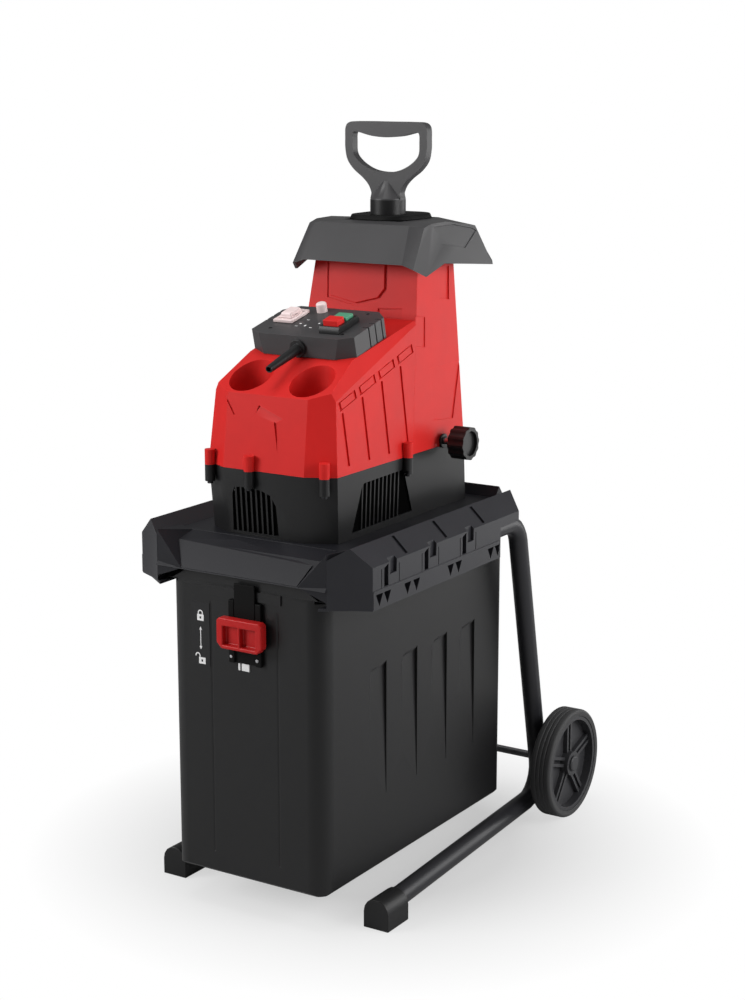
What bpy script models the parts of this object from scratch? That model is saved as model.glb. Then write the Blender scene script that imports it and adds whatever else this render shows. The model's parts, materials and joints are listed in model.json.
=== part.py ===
"""Electric garden shredder: a motor housing with a feed tower and a plunger stands on a wheeled tube
frame, over a collecting bin that slides out towards the front. Metres, +Z up, front at -Y."""

import math

import bmesh
import bpy
from mathutils import Matrix, Vector

# Gap left between two pieces that touch, the wall of the plastic mouldings, and how far a cutter
# runs past what it cuts
FIT = 0.0003
WALL = 0.003
BEYOND = 0.05

# Stand: two bent tubes, each on a wheel at the back and a foot in front
TUBE_D = 0.030
TUBE_WALL = 0.0015
TUBE_BEND_R = 0.045
TUBE_TOP_X = 0.165
TUBE_TOP_FRONT_Y = -0.23
LEG_TOP_Y = 0.16
LEG_LOW_X = 0.150
FOOT_X = 0.182
FOOT_W = 0.042
FOOT_L = 0.056
FOOT_H = 0.046
FOOT_FRONT_Y = -0.279
FOOT_SOLE = 0.011
FOOT_NOSE = 0.012

# Wheels and axle
WHEEL_D = 0.180
WHEEL_W = 0.036
WHEEL_OUT_X = 0.220
TYRE_T = 0.011
TYRE_EDGE = 0.004
TYRE_LEAN = 0.001
RIM_T = 0.006
HUB_D = 0.040
SPACER_D = 0.022
SPOKES = 5
SPOKE_T = 0.005
SPOKE_GAP = 0.011
SPOKE_DEPTH = 0.0176
SPOKE_ROOT = 0.004
WEB_T = 0.003
RIM_SET_IN = 0.002
AXLE_D = 0.012
AXLE_Y = 0.2714
AXLE_PLAY = 0.0004
CAP_D = 0.026
CAP_T = 0.004
CAP_EDGE = 0.003

# Deck and side rails
DECK_Z = 0.556
DECK_T = 0.010
DECK_FRONT_Y = -0.29
DECK_REAR_Y = 0.16
APRON_BREAK_Y = -0.325
APRON_BREAK_DROP = 0.009
APRON_LOW_Y = -0.352
APRON_DROP = 0.044
APRON_T = 0.005
APRON_HALF_W = 0.100
WEDGE_GAP = 0.002
RIM_RIDGE_Y = 0.138
RAIL_IN_X = 0.146
RAIL_OUT_X = 0.200
RIDGE_X = 0.172
RIDGE_RISE = 0.016
SHOULDER_DROP = 0.010
RAIL_DROP = 0.071
LEDGE_X = 0.1365
LEDGE_T = 0.0035
RAIL_NOSE_Y = -0.348
RAIL_CORNER_Y = -0.329
RAIL_SIDE_FRONT_Y = -0.315
RAIL_SIDE_REAR_Y = 0.045
LIP_REAR_Y = 0.1025
LIP_T = 0.015
RAIL_BACK_Y = 0.146
TUBE_DROP = 0.041
GROOVE_Y = -0.114
GROOVE_PITCH = 0.110
GROOVE_W = 0.004
GROOVE_DEPTH = 0.003
CLIP_SLOT_W = 0.007
CLIP_SLOT_H = 0.040
CLIP_SLOT_DEPTH = 0.005
CLIP_SLOT_Y = -0.135
CLIP_PITCH = 0.110

# Collecting bin with its slide latch
BIN_HALF_W = 0.1335
BIN_FRONT_Y = -0.34
BIN_REAR_Y = 0.178
BIN_BOTTOM_Z = 0.057
BIN_CORNER_R = 0.016
BIN_LIP_HALF_W = 0.098
BIN_LIP_SPREAD = 0.030
BIN_LIP_GAP = 0.0015
BIN_FLANGE_X = 0.1452
BIN_FLANGE_T = 0.005
BIN_RIB_H = 0.004
BIN_RIB_TOP_Z = 0.368
BIN_RIB_FOOT_Z = 0.150
BIN_RIB_W = 0.052
BIN_RIB_PITCH = 0.084
BIN_RIB_FIRST_Y = -0.188
BIN_RIBS = 4
LATCH_X = 0.006
LATCH_W = 0.077
LATCH_H = 0.045
LATCH_T = 0.0144
LATCH_Z = 0.431
TONGUE_W = 0.036
TONGUE_T = 0.0035
TONGUE_TOP_Z = 0.5025
POCKET_W = 0.056
POCKET_H = 0.028
POCKET_DEPTH = 0.009
POCKET_RIB = 0.004
GUIDE_W = 0.056
GUIDE_H = 0.092
GUIDE_T = 0.0026

# Lower housing and motor cover share one outline at the split
LOWER_H = 0.096
SPLIT_HALF_W = 0.1115
BASE_HALF_W = 0.108
SPLIT_FRONT_Y = -0.289
BASE_FRONT_Y = -0.282
CHAMFER_X = 0.042
CHAMFER_Y = 0.022
HOUSING_REAR_Y = 0.125
REAR_CHAMFER_X = 0.036
REAR_CHAMFER_Y = 0.040
FLOOR_T = 0.004
VENT_W = 0.0042
VENT_PITCH = 0.0100
VENT_LOW = 0.012
VENT_H = 0.056
SIDE_VENTS = 8
SIDE_VENT_Y = -0.15
FRONT_VENTS = 7
FRONT_VENT_X = -0.018
FRONT_VENT_H = 0.054
BOSS_R = 0.0075
BOSS_OUT = 0.0045
FRONT_BOSS_X = -0.021
SIDE_BOSS_Y = -0.087
BOSS_LOW = 0.024
BOSS_HIGH = 0.022
SCREW_D = 0.0045
SCREW_HEAD_D = 0.0085
SCREW_HEAD_T = 0.0035

# Motor cover
COVER_FRONT_H = 0.1075
COVER_FRONT_LEAN = 0.013
COVER_SLOPE_RISE = 0.046
COVER_SLOPE_RUN = 0.083
SHOULDER_RUN = 0.030
WELL_X = 0.052
WELL_BACK = 0.036
WELL_R = 0.033
WELL_DEPTH = 0.050
SIDE_GROOVES = 4
SIDE_GROOVE_W = 0.004
SIDE_GROOVE_DEPTH = 0.002
SIDE_GROOVE_PITCH = 0.053
SIDE_GROOVE_FIRST = 0.061
SIDE_GROOVE_LEAN = 0.017
SIDE_GROOVE_LOW = 0.011
SIDE_GROOVE_HIGH = 0.102

# Control panel, tilted up towards the back
PANEL_HALF_W = 0.0885
PANEL_L = 0.113
PANEL_T = 0.030
PANEL_TILT = math.atan(0.25)
PANEL_CORNER = 0.020
PANEL_FRONT_LEAN = 0.004
SWITCH_X = 0.0435
SWITCH_V = 0.0440
SWITCH_W = 0.034
SWITCH_L = 0.056
SWITCH_H = 0.010
BUTTON_W = 0.024
BUTTON_L = 0.020
BUTTON_H = 0.009
OFF_EXTRA_H = 0.004
ROCKER_X = -0.054
ROCKER_V = 0.066
ROCKER_FRAME_W = 0.034
ROCKER_FRAME_L = 0.048
ROCKER_FRAME_H = 0.005
ROCKER_W = 0.021
ROCKER_L = 0.032
ROCKER_H = 0.007
OVERLOAD_X = -0.021
OVERLOAD_V = 0.098
OVERLOAD_D = 0.016
OVERLOAD_H = 0.014
OVERLOAD_ROOT = 0.006
OVERLOAD_EDGE = 0.002
SLEEVE_LEVEL = 0.60
SLEEVE_DROP = 0.021
SLEEVE_REACH = 0.074
SLEEVE_D = 0.016
SLEEVE_TIP_D = 0.011
SLEEVE_FLANGE_D = 0.026
SLEEVE_FLANGE_T = 0.004

# Feed tower, its rear cover, the inner chute and the hood
TOWER_TOP_HALF_W = 0.0875
TOWER_TOP_RISE = 0.3077
TOWER_FRONT_Y = -0.0137
TOWER_FRONT_LEAN = 0.167
REAR_COVER_HALF_W = 0.055
REAR_COVER_LOW = 0.020
REAR_COVER_H = 0.200
REAR_COVER_T = 0.004
CHUTE_HALF_W = 0.048
CHUTE_FRONT_Y = -0.002
CHUTE_REAR_Y = 0.104
CHUTE_T = 0.003
CHUTE_FLANGE_T = 0.003
CHUTE_PLAY = 0.0006
HOOD_T = 0.003
HOOD_TOP = 0.0260
HOOD_HOLE_HALF_W = 0.050
HOOD_HOLE_FRONT = 0.047
HOOD_HOLE_REAR = 0.064
HOOD_HOLE_SIDE_Y = 0.007
HOOD_MIDDLE_Y = 0.012
SKIRT_FRONT = 0.101
SKIRT_FLAT_HALF_W = 0.087
SKIRT_DROP = 0.058
SKIRT_CORNER_X = 0.106
SKIRT_CORNER_DROP = 0.064
SKIRT_TIP_X = 0.116
SKIRT_TIP_Y = 0.080
SKIRT_TIP_DROP = 0.075
SKIRT_SIDE = 0.120
SKIRT_SIDE_Y = 0.034
SKIRT_SIDE_DROP = 0.059
SKIRT_REAR_SIDE_Y = 0.112
SKIRT_REAR_SIDE_DROP = 0.072
SKIRT_REAR_CORNER_X = 0.110
SKIRT_REAR_CORNER_DROP = 0.068
SKIRT_REAR = 0.128
SKIRT_REAR_DROP = 0.066
CROWN_FRONT = 0.0725
CROWN_FRONT_DROP = 0.003
CROWN_FLAT_HALF_W = 0.0815
CROWN_SIDE = 0.101
CROWN_CORNER_Y = 0.062
CROWN_CORNER_DROP = 0.006
CROWN_SIDE_Y = 0.043
CROWN_SIDE_DROP = 0.001
CROWN_TOP_Y = 0.003
CROWN_REAR_SIDE_Y = 0.089
CROWN_REAR_SIDE_DROP = 0.012
CROWN_REAR_CORNER_X = 0.092
CROWN_REAR_CORNER_DROP = 0.016
CROWN_REAR = 0.099
CROWN_REAR_DROP = 0.014

# Plunger
PLUNGER_Y = 0.043
GRIP_TOP_Z = 1.130
GRIP_HALF_W = 0.072
GRIP_T = 0.015
GRIP_BAR = 0.017
GRIP_SIDE = 0.013
GRIP_SIDE_H = 0.057
GRIP_ROUND = 0.012
GRIP_TUCK_X = 0.008
GRIP_TUCK_Z = 0.014
GRIP_FORK_W = 0.014
GRIP_FORK_H = 0.026
GRIP_IN_RISE = 0.002
GRIP_SAG = 0.006
GRIP_BOWL = 0.017
GRIP_BOWL_SIDE = 0.012
GRIP_H = 0.114
NECK_D = 0.053
NECK_TIP_D = 0.012
NECK_TIP_H = 0.030
NECK_LOW_Z = 0.900
PADDLE_PLAY = 0.0006
PADDLE_HALF_Y = 0.026
PADDLE_T = 0.007
PADDLE_LOW_Z = 0.722
PADDLE_ROOT = 0.010

# Cutting roller and the cast frame round it
ROLLER_X = -0.028
ROLLER_RISE = 0.099
ROLLER_D = 0.080
ROLLER_TEETH = 8
ROLLER_TOOTH_H = 0.006
ROLLER_SHAFT_D = 0.020
SHAFT_OVER = 0.0005
SHAFT_SHORT = 0.001
CHAMBER_FRONT_Y = -0.03
CHAMBER_REAR_Y = 0.1
CHAMBER_LEFT_X = -0.0715
CHAMBER_RIGHT_X = 0.052
FRAME_WALL_X = 0.007
FRAME_WALL_Y = 0.010
FRAME_TOP_RISE = 0.1485
BEARING_D = 0.032
BEARING_L = 0.009

# Counter plate with its adjusting spindle and knob
PLATE_T = 0.014
PLATE_H = 0.070
PLATE_GAP = 0.0045
PLATE_PLAY = 0.0006
PLATE_SKIN = 0.003
SPINDLE_D = 0.010
SPINDLE_Y = 0.02
SPINDLE_RISE = 0.104
SPINDLE_GRIP = 0.009
BUSH_D = 0.016
BUSH_FLANGE_D = 0.022
BUSH_FLANGE_T = 0.003
BUSH_L = 0.011
KNOB_D = 0.050
KNOB_L = 0.027
KNOB_FACE_X = 0.161
KNOB_RIBS = 12
KNOB_RIB_DEPTH = 0.0015

# Motor and two-stage gear train
MOTOR_RISE = 0.074
MOTOR_D = 0.104
MOTOR_L = 0.147
MOTOR_WALL = 0.005
MOTOR_SHAFT_D = 0.012
ROTOR_D = 0.080
FAN_D = 0.090
FAN_L = 0.014
FAN_GAP = 0.003
FAN_HUB_D = 0.028
FAN_DISC_T = 0.003
FAN_FIN_T = 0.002
FAN_BLADES = 8
GEAR_PLATE_T = 0.006
GEAR_PLATE_Y = -0.099
GEAR_PLATE_HALF_W = 0.086
GEAR_PLATE_H = 0.200
SHAFT_PLAY = 0.0004
PINION_TEETH = 10
GEAR_TEETH = 40
FIRST_MODULE = 0.0020
SECOND_MODULE = 0.0025
GEAR_FACE = 0.014
GEAR_SPACE = 0.005
IDLER_SHAFT_D = 0.010
CAPACITOR_D = 0.038
CAPACITOR_L = 0.075
CAPACITOR_X = 0.048
CAPACITOR_RISE = 0.178
SAFETY_W = 0.030
SAFETY_L = 0.026
SAFETY_H = 0.014
SAFETY_Y = -0.298
SAFETY_LEVER_L = 0.012
SAFETY_LEVER_T = 0.003
SAFETY_LEVER_RISE = 0.002
SAFETY_LEVER_ROOT = 0.001

# Levels and places that follow from the sizes above
AXLE_Z = WHEEL_D / 2
TUBE_R = TUBE_D / 2
TUBE_LOW_Z = FOOT_SOLE + TUBE_R
TUBE_TOP_Z = DECK_Z - TUBE_DROP
RAIL_LOW_Z = DECK_Z - RAIL_DROP
SHOULDER_Z = DECK_Z - SHOULDER_DROP
RIDGE_Z = DECK_Z + RIDGE_RISE
BIN_TOP_Z = RAIL_LOW_Z + LEDGE_T + FIT + BIN_FLANGE_T
HOUSING_Z = DECK_Z + FIT
RIM_START_Y = HOUSING_REAR_Y + 0.001
SPLIT_Z = HOUSING_Z + LOWER_H
FLOOR_TOP_Z = HOUSING_Z + FLOOR_T
COVER_Z = SPLIT_Z + FIT
TOWER_TOP_Z = COVER_Z + TOWER_TOP_RISE
COVER_FRONT_TOP_Y = SPLIT_FRONT_Y + COVER_FRONT_LEAN
COVER_FRONT_TOP_Z = COVER_Z + COVER_FRONT_H
PANEL_FOOT_Y = COVER_FRONT_TOP_Y + COVER_SLOPE_RUN
PANEL_FOOT_Z = COVER_FRONT_TOP_Z + COVER_SLOPE_RISE
ROLLER_Z = DECK_Z + ROLLER_RISE
MOTOR_Z = DECK_Z + MOTOR_RISE
SPINDLE_Z = DECK_Z + SPINDLE_RISE
FRAME_TOP_Z = DECK_Z + FRAME_TOP_RISE
KNOB_BACK_X = KNOB_FACE_X - KNOB_L
PANEL_NORMAL = Vector((0, -math.sin(PANEL_TILT), math.cos(PANEL_TILT)))
PANEL_FOOT = Vector((0, PANEL_FOOT_Y, PANEL_FOOT_Z))
PANEL_TOP = PANEL_FOOT + PANEL_NORMAL * (PANEL_T + FIT)
PANEL_FRAME = Matrix.Translation(PANEL_TOP) @ Matrix.Rotation(PANEL_TILT, 4, "X")
SIDE_LEAN = (SPLIT_HALF_W - TOWER_TOP_HALF_W) / TOWER_TOP_RISE

AXES = {"X": Vector((1, 0, 0)), "Y": Vector((0, 1, 0)), "Z": Vector((0, 0, 1))}
TURN_TO = {
    "X": Matrix.Rotation(math.pi / 2, 4, "Y"),
    "Y": Matrix.Rotation(-math.pi / 2, 4, "X"),
    "Z": Matrix.Identity(4),
}


def finish(name, rgb, roughness, metallic=0.0):
    """A plain material for one kind of surface."""
    made = bpy.data.materials.new(name)
    made.use_nodes = True
    shader = made.node_tree.nodes["Principled BSDF"]
    shader.inputs["Base Color"].default_value = (*rgb, 1)
    shader.inputs["Roughness"].default_value = roughness
    shader.inputs["Metallic"].default_value = metallic
    return made


def clear_scene():
    for old in list(bpy.data.objects):
        bpy.data.objects.remove(old, do_unlink=True)


def node(name, shape, material, origin=(0, 0, 0)):
    """Make the named object from a bmesh, with its origin at the given point."""
    bmesh.ops.remove_doubles(shape, verts=shape.verts[:], dist=1e-6)
    bmesh.ops.recalc_face_normals(shape, faces=shape.faces[:])
    bmesh.ops.translate(shape, verts=shape.verts[:], vec=-Vector(origin))
    mesh = bpy.data.meshes.new(name)
    shape.to_mesh(mesh)
    shape.free()
    mesh.shade_smooth()
    mesh.set_sharp_from_angle(angle=math.radians(35))
    mesh.materials.append(material)
    made = bpy.data.objects.new(name, mesh)
    made.location = origin
    bpy.context.scene.collection.objects.link(made)
    return made


def block(low, high):
    """A box between two corners."""
    shape = bmesh.new()
    bmesh.ops.create_cube(shape, size=1)
    size = [b - a for a, b in zip(low, high)]
    middle = [(a + b) / 2 for a, b in zip(low, high)]
    bmesh.ops.scale(shape, verts=shape.verts[:], vec=size)
    bmesh.ops.translate(shape, verts=shape.verts[:], vec=middle)
    return shape


def planed(low, high, planes):
    """A box with all that lies beyond each plane (a point and an outward normal) cut away."""
    shape = block(low, high)
    for point, normal in planes:
        everything = shape.verts[:] + shape.edges[:] + shape.faces[:]
        cut = bmesh.ops.bisect_plane(
            shape, geom=everything, dist=1e-7, plane_co=point, plane_no=normal, clear_outer=True
        )
        rim = [item for item in cut["geom_cut"] if isinstance(item, bmesh.types.BMEdge)]
        if rim:
            bmesh.ops.edgeloop_fill(shape, edges=rim)
    return shape


def facet(first, second, third, inside):
    """The plane through three points, as a point and the normal that looks away from inside."""
    first = Vector(first)
    normal = (Vector(second) - first).cross(Vector(third) - first).normalized()
    if normal.dot(Vector(inside) - first) > 0:
        normal = -normal
    return first, normal


def sunk(planes, depth):
    """The same planes moved inwards."""
    return [(Vector(point) - Vector(normal) * depth, normal) for point, normal in planes]


def prism(outline, axis, start, end):
    """An outline in the two other axes, in X Y Z order, drawn out along an axis."""
    shape = bmesh.new()
    where = "XYZ".index(axis)
    corners = []
    for first, second in outline:
        place = [first, second]
        place.insert(where, start)
        corners.append(shape.verts.new(place))
    face = shape.faces.new(corners)
    grown = bmesh.ops.extrude_face_region(shape, geom=[face])
    moved = [item for item in grown["geom"] if isinstance(item, bmesh.types.BMVert)]
    bmesh.ops.translate(shape, verts=moved, vec=AXES[axis] * (end - start))
    bmesh.ops.recalc_face_normals(shape, faces=shape.faces[:])
    return shape


def turned(outline, centre, axis, sides=24):
    """A closed outline of (radius, distance along the axis) turned right round."""
    shape = bmesh.new()
    corners = [shape.verts.new((radius, 0, along)) for radius, along in outline]
    edges = [shape.edges.new((a, b)) for a, b in zip(corners, corners[1:] + corners[:1])]
    whole = corners + edges
    up = (0, 0, 1)
    bmesh.ops.spin(shape, geom=whole, axis=up, cent=(0, 0, 0), angle=math.tau, steps=sides, use_merge=True)
    bmesh.ops.remove_doubles(shape, verts=shape.verts[:], dist=1e-6)
    for edge in [edge for edge in shape.edges if not edge.link_faces]:
        shape.edges.remove(edge)
    bmesh.ops.recalc_face_normals(shape, faces=shape.faces[:])
    bmesh.ops.transform(shape, matrix=Matrix.Translation(centre) @ TURN_TO[axis], verts=shape.verts[:])
    return shape


def rod(centre, axis, radius, start, end, sides=24):
    """A plain cylinder from start to end along an axis through centre."""
    return turned([(0, start), (radius, start), (radius, end), (0, end)], centre, axis, sides)


def pipe(centre, axis, inner, outer, start, end, sides=24):
    return turned([(inner, start), (outer, start), (outer, end), (inner, end)], centre, axis, sides)


def looped(rings):
    """Skin a closed chain of equal rings, the last joined to the first."""
    shape = bmesh.new()
    rows = [[shape.verts.new(point) for point in ring] for ring in rings]
    for row, after in zip(rows, rows[1:] + rows[:1]):
        for i, corner in enumerate(row):
            j = (i + 1) % len(row)
            shape.faces.new((corner, row[j], after[j], after[i]))
    bmesh.ops.recalc_face_normals(shape, faces=shape.faces[:])
    return shape


def hull(points):
    """The convex solid round some points."""
    shape = bmesh.new()
    for point in points:
        shape.verts.new(point)
    bmesh.ops.convex_hull(shape, input=shape.verts[:])
    return shape


def temporary(shape):
    mesh = bpy.data.meshes.new("tool")
    shape.to_mesh(mesh)
    shape.free()
    made = bpy.data.objects.new("tool", mesh)
    bpy.context.scene.collection.objects.link(made)
    return made


def boolean(shape, tools, operation):
    """Join the tools to a shape, or cut them from it, one after the other."""
    body = temporary(shape)
    made = [temporary(tool) for tool in tools]
    for tool in made:
        step = body.modifiers.new("step", "BOOLEAN")
        step.operation = operation
        step.solver = "EXACT"
        step.object = tool
    graph = bpy.context.evaluated_depsgraph_get()
    mesh = bpy.data.meshes.new_from_object(body.evaluated_get(graph))
    result = bmesh.new()
    result.from_mesh(mesh)
    for old in [body] + made:
        bpy.data.objects.remove(old, do_unlink=True)
    return result


def cut(shape, *tools):
    return boolean(shape, tools, "DIFFERENCE")


def join(shape, *tools):
    return boolean(shape, tools, "UNION")


def moved(shape, matrix):
    bmesh.ops.transform(shape, matrix=matrix, verts=shape.verts[:])
    return shape


def flipped(shape, side):
    """The shape itself for side 1, or its mirror image across X for side -1."""
    if side < 0:
        bmesh.ops.scale(shape, verts=shape.verts[:], vec=(-1, 1, 1))
        bmesh.ops.reverse_faces(shape, faces=shape.faces[:])
    return shape


def rounded_path(corners, radius, steps=6):
    """A path through the corners with each inner corner rounded to a radius."""
    corners = [Vector(corner) for corner in corners]
    path = [corners[0]]
    for before, corner, after in zip(corners, corners[1:], corners[2:]):
        back = (before - corner).normalized()
        ahead = (after - corner).normalized()
        half = back.angle(ahead) / 2
        middle = corner + (back + ahead).normalized() * radius / math.sin(half)
        start = corner + back * radius / math.tan(half) - middle
        end = corner + ahead * radius / math.tan(half) - middle
        sweep = start.angle(end)
        for step in range(steps + 1):
            part = step / steps
            spoke = start * math.sin((1 - part) * sweep) + end * math.sin(part * sweep)
            path.append(middle + spoke / math.sin(sweep))
    path.append(corners[-1])
    return path


def swept(path, radius, resolution=5):
    """A round bar along a path, with closed ends."""
    curve = bpy.data.curves.new("bar", "CURVE")
    curve.dimensions = "3D"
    curve.bevel_depth = radius
    curve.bevel_resolution = resolution
    curve.use_fill_caps = True
    spline = curve.splines.new("POLY")
    spline.points.add(len(path) - 1)
    for point, place in zip(spline.points, path):
        point.co = (*place, 1)
    made = bpy.data.objects.new("bar", curve)
    bpy.context.scene.collection.objects.link(made)
    graph = bpy.context.evaluated_depsgraph_get()
    mesh = bpy.data.meshes.new_from_object(made.evaluated_get(graph))
    shape = bmesh.new()
    shape.from_mesh(mesh)
    bmesh.ops.remove_doubles(shape, verts=shape.verts[:], dist=1e-6)
    bmesh.ops.recalc_face_normals(shape, faces=shape.faces[:])
    bpy.data.objects.remove(made, do_unlink=True)
    return shape


def rounded_box_ring(half_w, front, rear, radius, z, steps=4):
    """A ring of points round a rectangle with rounded corners."""
    ring = []
    centres = (
        (half_w - radius, rear - radius, 0),
        (radius - half_w, rear - radius, 1),
        (radius - half_w, front + radius, 2),
        (half_w - radius, front + radius, 3),
    )
    for x, y, quarter in centres:
        for step in range(steps + 1):
            angle = (quarter + step / steps) * math.pi / 2
            ring.append(Vector((x + radius * math.cos(angle), y + radius * math.sin(angle), z)))
    return ring


# Stand


def tube_corners(side):
    """Centre line of one bent tube: under the deck, down the leg past the axle, forward to the foot."""
    leg_top = Vector((TUBE_TOP_X, LEG_TOP_Y, TUBE_TOP_Z))
    fall = (TUBE_TOP_Z - TUBE_LOW_Z) / (TUBE_TOP_Z - AXLE_Z)
    leg_low = Vector((LEG_LOW_X, LEG_TOP_Y + (AXLE_Y - LEG_TOP_Y) * fall, TUBE_LOW_Z))
    top_front = Vector((TUBE_TOP_X, TUBE_TOP_FRONT_Y, TUBE_TOP_Z))
    toe = Vector((FOOT_X, FOOT_FRONT_Y + FOOT_NOSE, TUBE_LOW_Z))
    return [Vector((side * p.x, p.y, p.z)) for p in (top_front, leg_top, leg_low, toe)]


def frame_tube(side):
    corners = tube_corners(side)
    path = rounded_path(corners, TUBE_BEND_R)
    over = TUBE_D
    bore = [path[0] - AXES["Y"] * over] + path[1:-1]
    bore.append(path[-1] + (path[-1] - path[-2]).normalized() * over)
    shape = cut(swept(path, TUBE_R), swept(bore, TUBE_R - TUBE_WALL))
    hole = rod((0, AXLE_Y, AXLE_Z), "X", AXLE_D / 2 + AXLE_PLAY, -WHEEL_OUT_X, WHEEL_OUT_X)
    return cut(shape, hole)


def foot(side):
    """A half-round shoe with a slanted bore that the tube's end is pushed into."""
    half = FOOT_W / 2
    arch = [(FOOT_X - half, 0), (FOOT_X + half, 0)]
    for step in range(9):
        angle = step / 8 * math.pi
        arch.append((FOOT_X + half * math.cos(angle), FOOT_H - half + half * math.sin(angle)))
    shape = prism(arch, "Y", FOOT_FRONT_Y, FOOT_FRONT_Y + FOOT_L)
    corners = tube_corners(1)
    run = (corners[3] - corners[2]).normalized()
    start = corners[3] + run * FIT
    bore = swept([start, start - run * 2 * FOOT_L], TUBE_R + FIT)
    return flipped(cut(shape, bore), side)


def leg_side_x():
    """How far out a leg reaches at the axle, where the wheel's hub runs up to it."""
    _, leg_top, leg_low, _ = tube_corners(1)
    fall = (leg_top.z - AXLE_Z) / (leg_top.z - leg_low.z)
    return leg_top.x + (leg_low.x - leg_top.x) * fall + TUBE_R + 2 * FIT


def wheel(side):
    """Spoked wheel in one moulding: hub with its spacer, thin web, rim and pairs of spokes."""
    rim_out = WHEEL_D / 2 - TYRE_T - FIT
    rim_in = rim_out - RIM_T
    middle = WHEEL_OUT_X - WHEEL_W / 2
    centre = (middle, AXLE_Y, AXLE_Z)
    half = WHEEL_W / 2 - RIM_SET_IN
    bore = AXLE_D / 2 + AXLE_PLAY
    spacer = leg_side_x() - middle
    web = WEB_T / 2
    outline = [
        (bore, spacer),
        (SPACER_D / 2, spacer),
        (SPACER_D / 2, -WHEEL_W / 2),
        (HUB_D / 2, -WHEEL_W / 2),
        (HUB_D / 2, -web),
        (rim_in, -web),
        (rim_in, -half),
        (rim_out, -half),
        (rim_out, half),
        (rim_in, half),
        (rim_in, web),
        (HUB_D / 2, web),
        (HUB_D / 2, half),
        (bore, half),
    ]
    shape = turned(outline, centre, "X", 40)
    arms = []
    for spoke in range(SPOKES):
        turn = Matrix.Rotation(spoke * math.tau / SPOKES, 4, "X")
        for place in (-1, 1):
            at = place * SPOKE_GAP / 2
            low = (-SPOKE_DEPTH / 2, at - SPOKE_T / 2, HUB_D / 2 - SPOKE_ROOT)
            arm = block(low, (SPOKE_DEPTH / 2, at + SPOKE_T / 2, rim_in + RIM_T / 2))
            arms.append(moved(arm, Matrix.Translation(centre) @ turn))
    return flipped(join(shape, *arms), side)


def tyre(side):
    inner_x = WHEEL_OUT_X - WHEEL_W
    centre = ((inner_x + WHEEL_OUT_X) / 2, AXLE_Y, AXLE_Z)
    inner = WHEEL_D / 2 - TYRE_T
    outer = WHEEL_D / 2
    half = WHEEL_W / 2
    edge = TYRE_EDGE
    outline = [
        (inner, -half + TYRE_LEAN),
        (outer - edge, -half),
        (outer, -half + edge),
        (outer, half - edge),
        (outer - edge, half),
        (inner, half - TYRE_LEAN),
    ]
    return flipped(turned(outline, centre, "X", 48), side)


def hub_cap(side):
    face = WHEEL_OUT_X - RIM_SET_IN + FIT
    radius = CAP_D / 2
    outline = [(0, 0), (radius, 0), (radius, CAP_T * 0.6), (radius - CAP_EDGE, CAP_T), (0, CAP_T)]
    shape = turned(outline, (face, AXLE_Y, AXLE_Z), "X")
    return flipped(shape, side)


def build_stand(paints):
    for side, word in ((1, "right"), (-1, "left")):
        node("frame_tube_" + word, frame_tube(side), paints["tube"])
        node("foot_" + word, foot(side), paints["black"])
        on_axle = (0, AXLE_Y, AXLE_Z)
        node("wheel_" + word, wheel(side), paints["black"], on_axle)
        node("tyre_" + word, tyre(side), paints["rubber"], on_axle)
        node("hub_cap_" + word, hub_cap(side), paints["black"], on_axle)
    reach = WHEEL_OUT_X - RIM_SET_IN
    node("wheel_axle", rod((0, AXLE_Y, AXLE_Z), "X", AXLE_D / 2, -reach, reach), paints["screw"])


# Deck and rails


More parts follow.
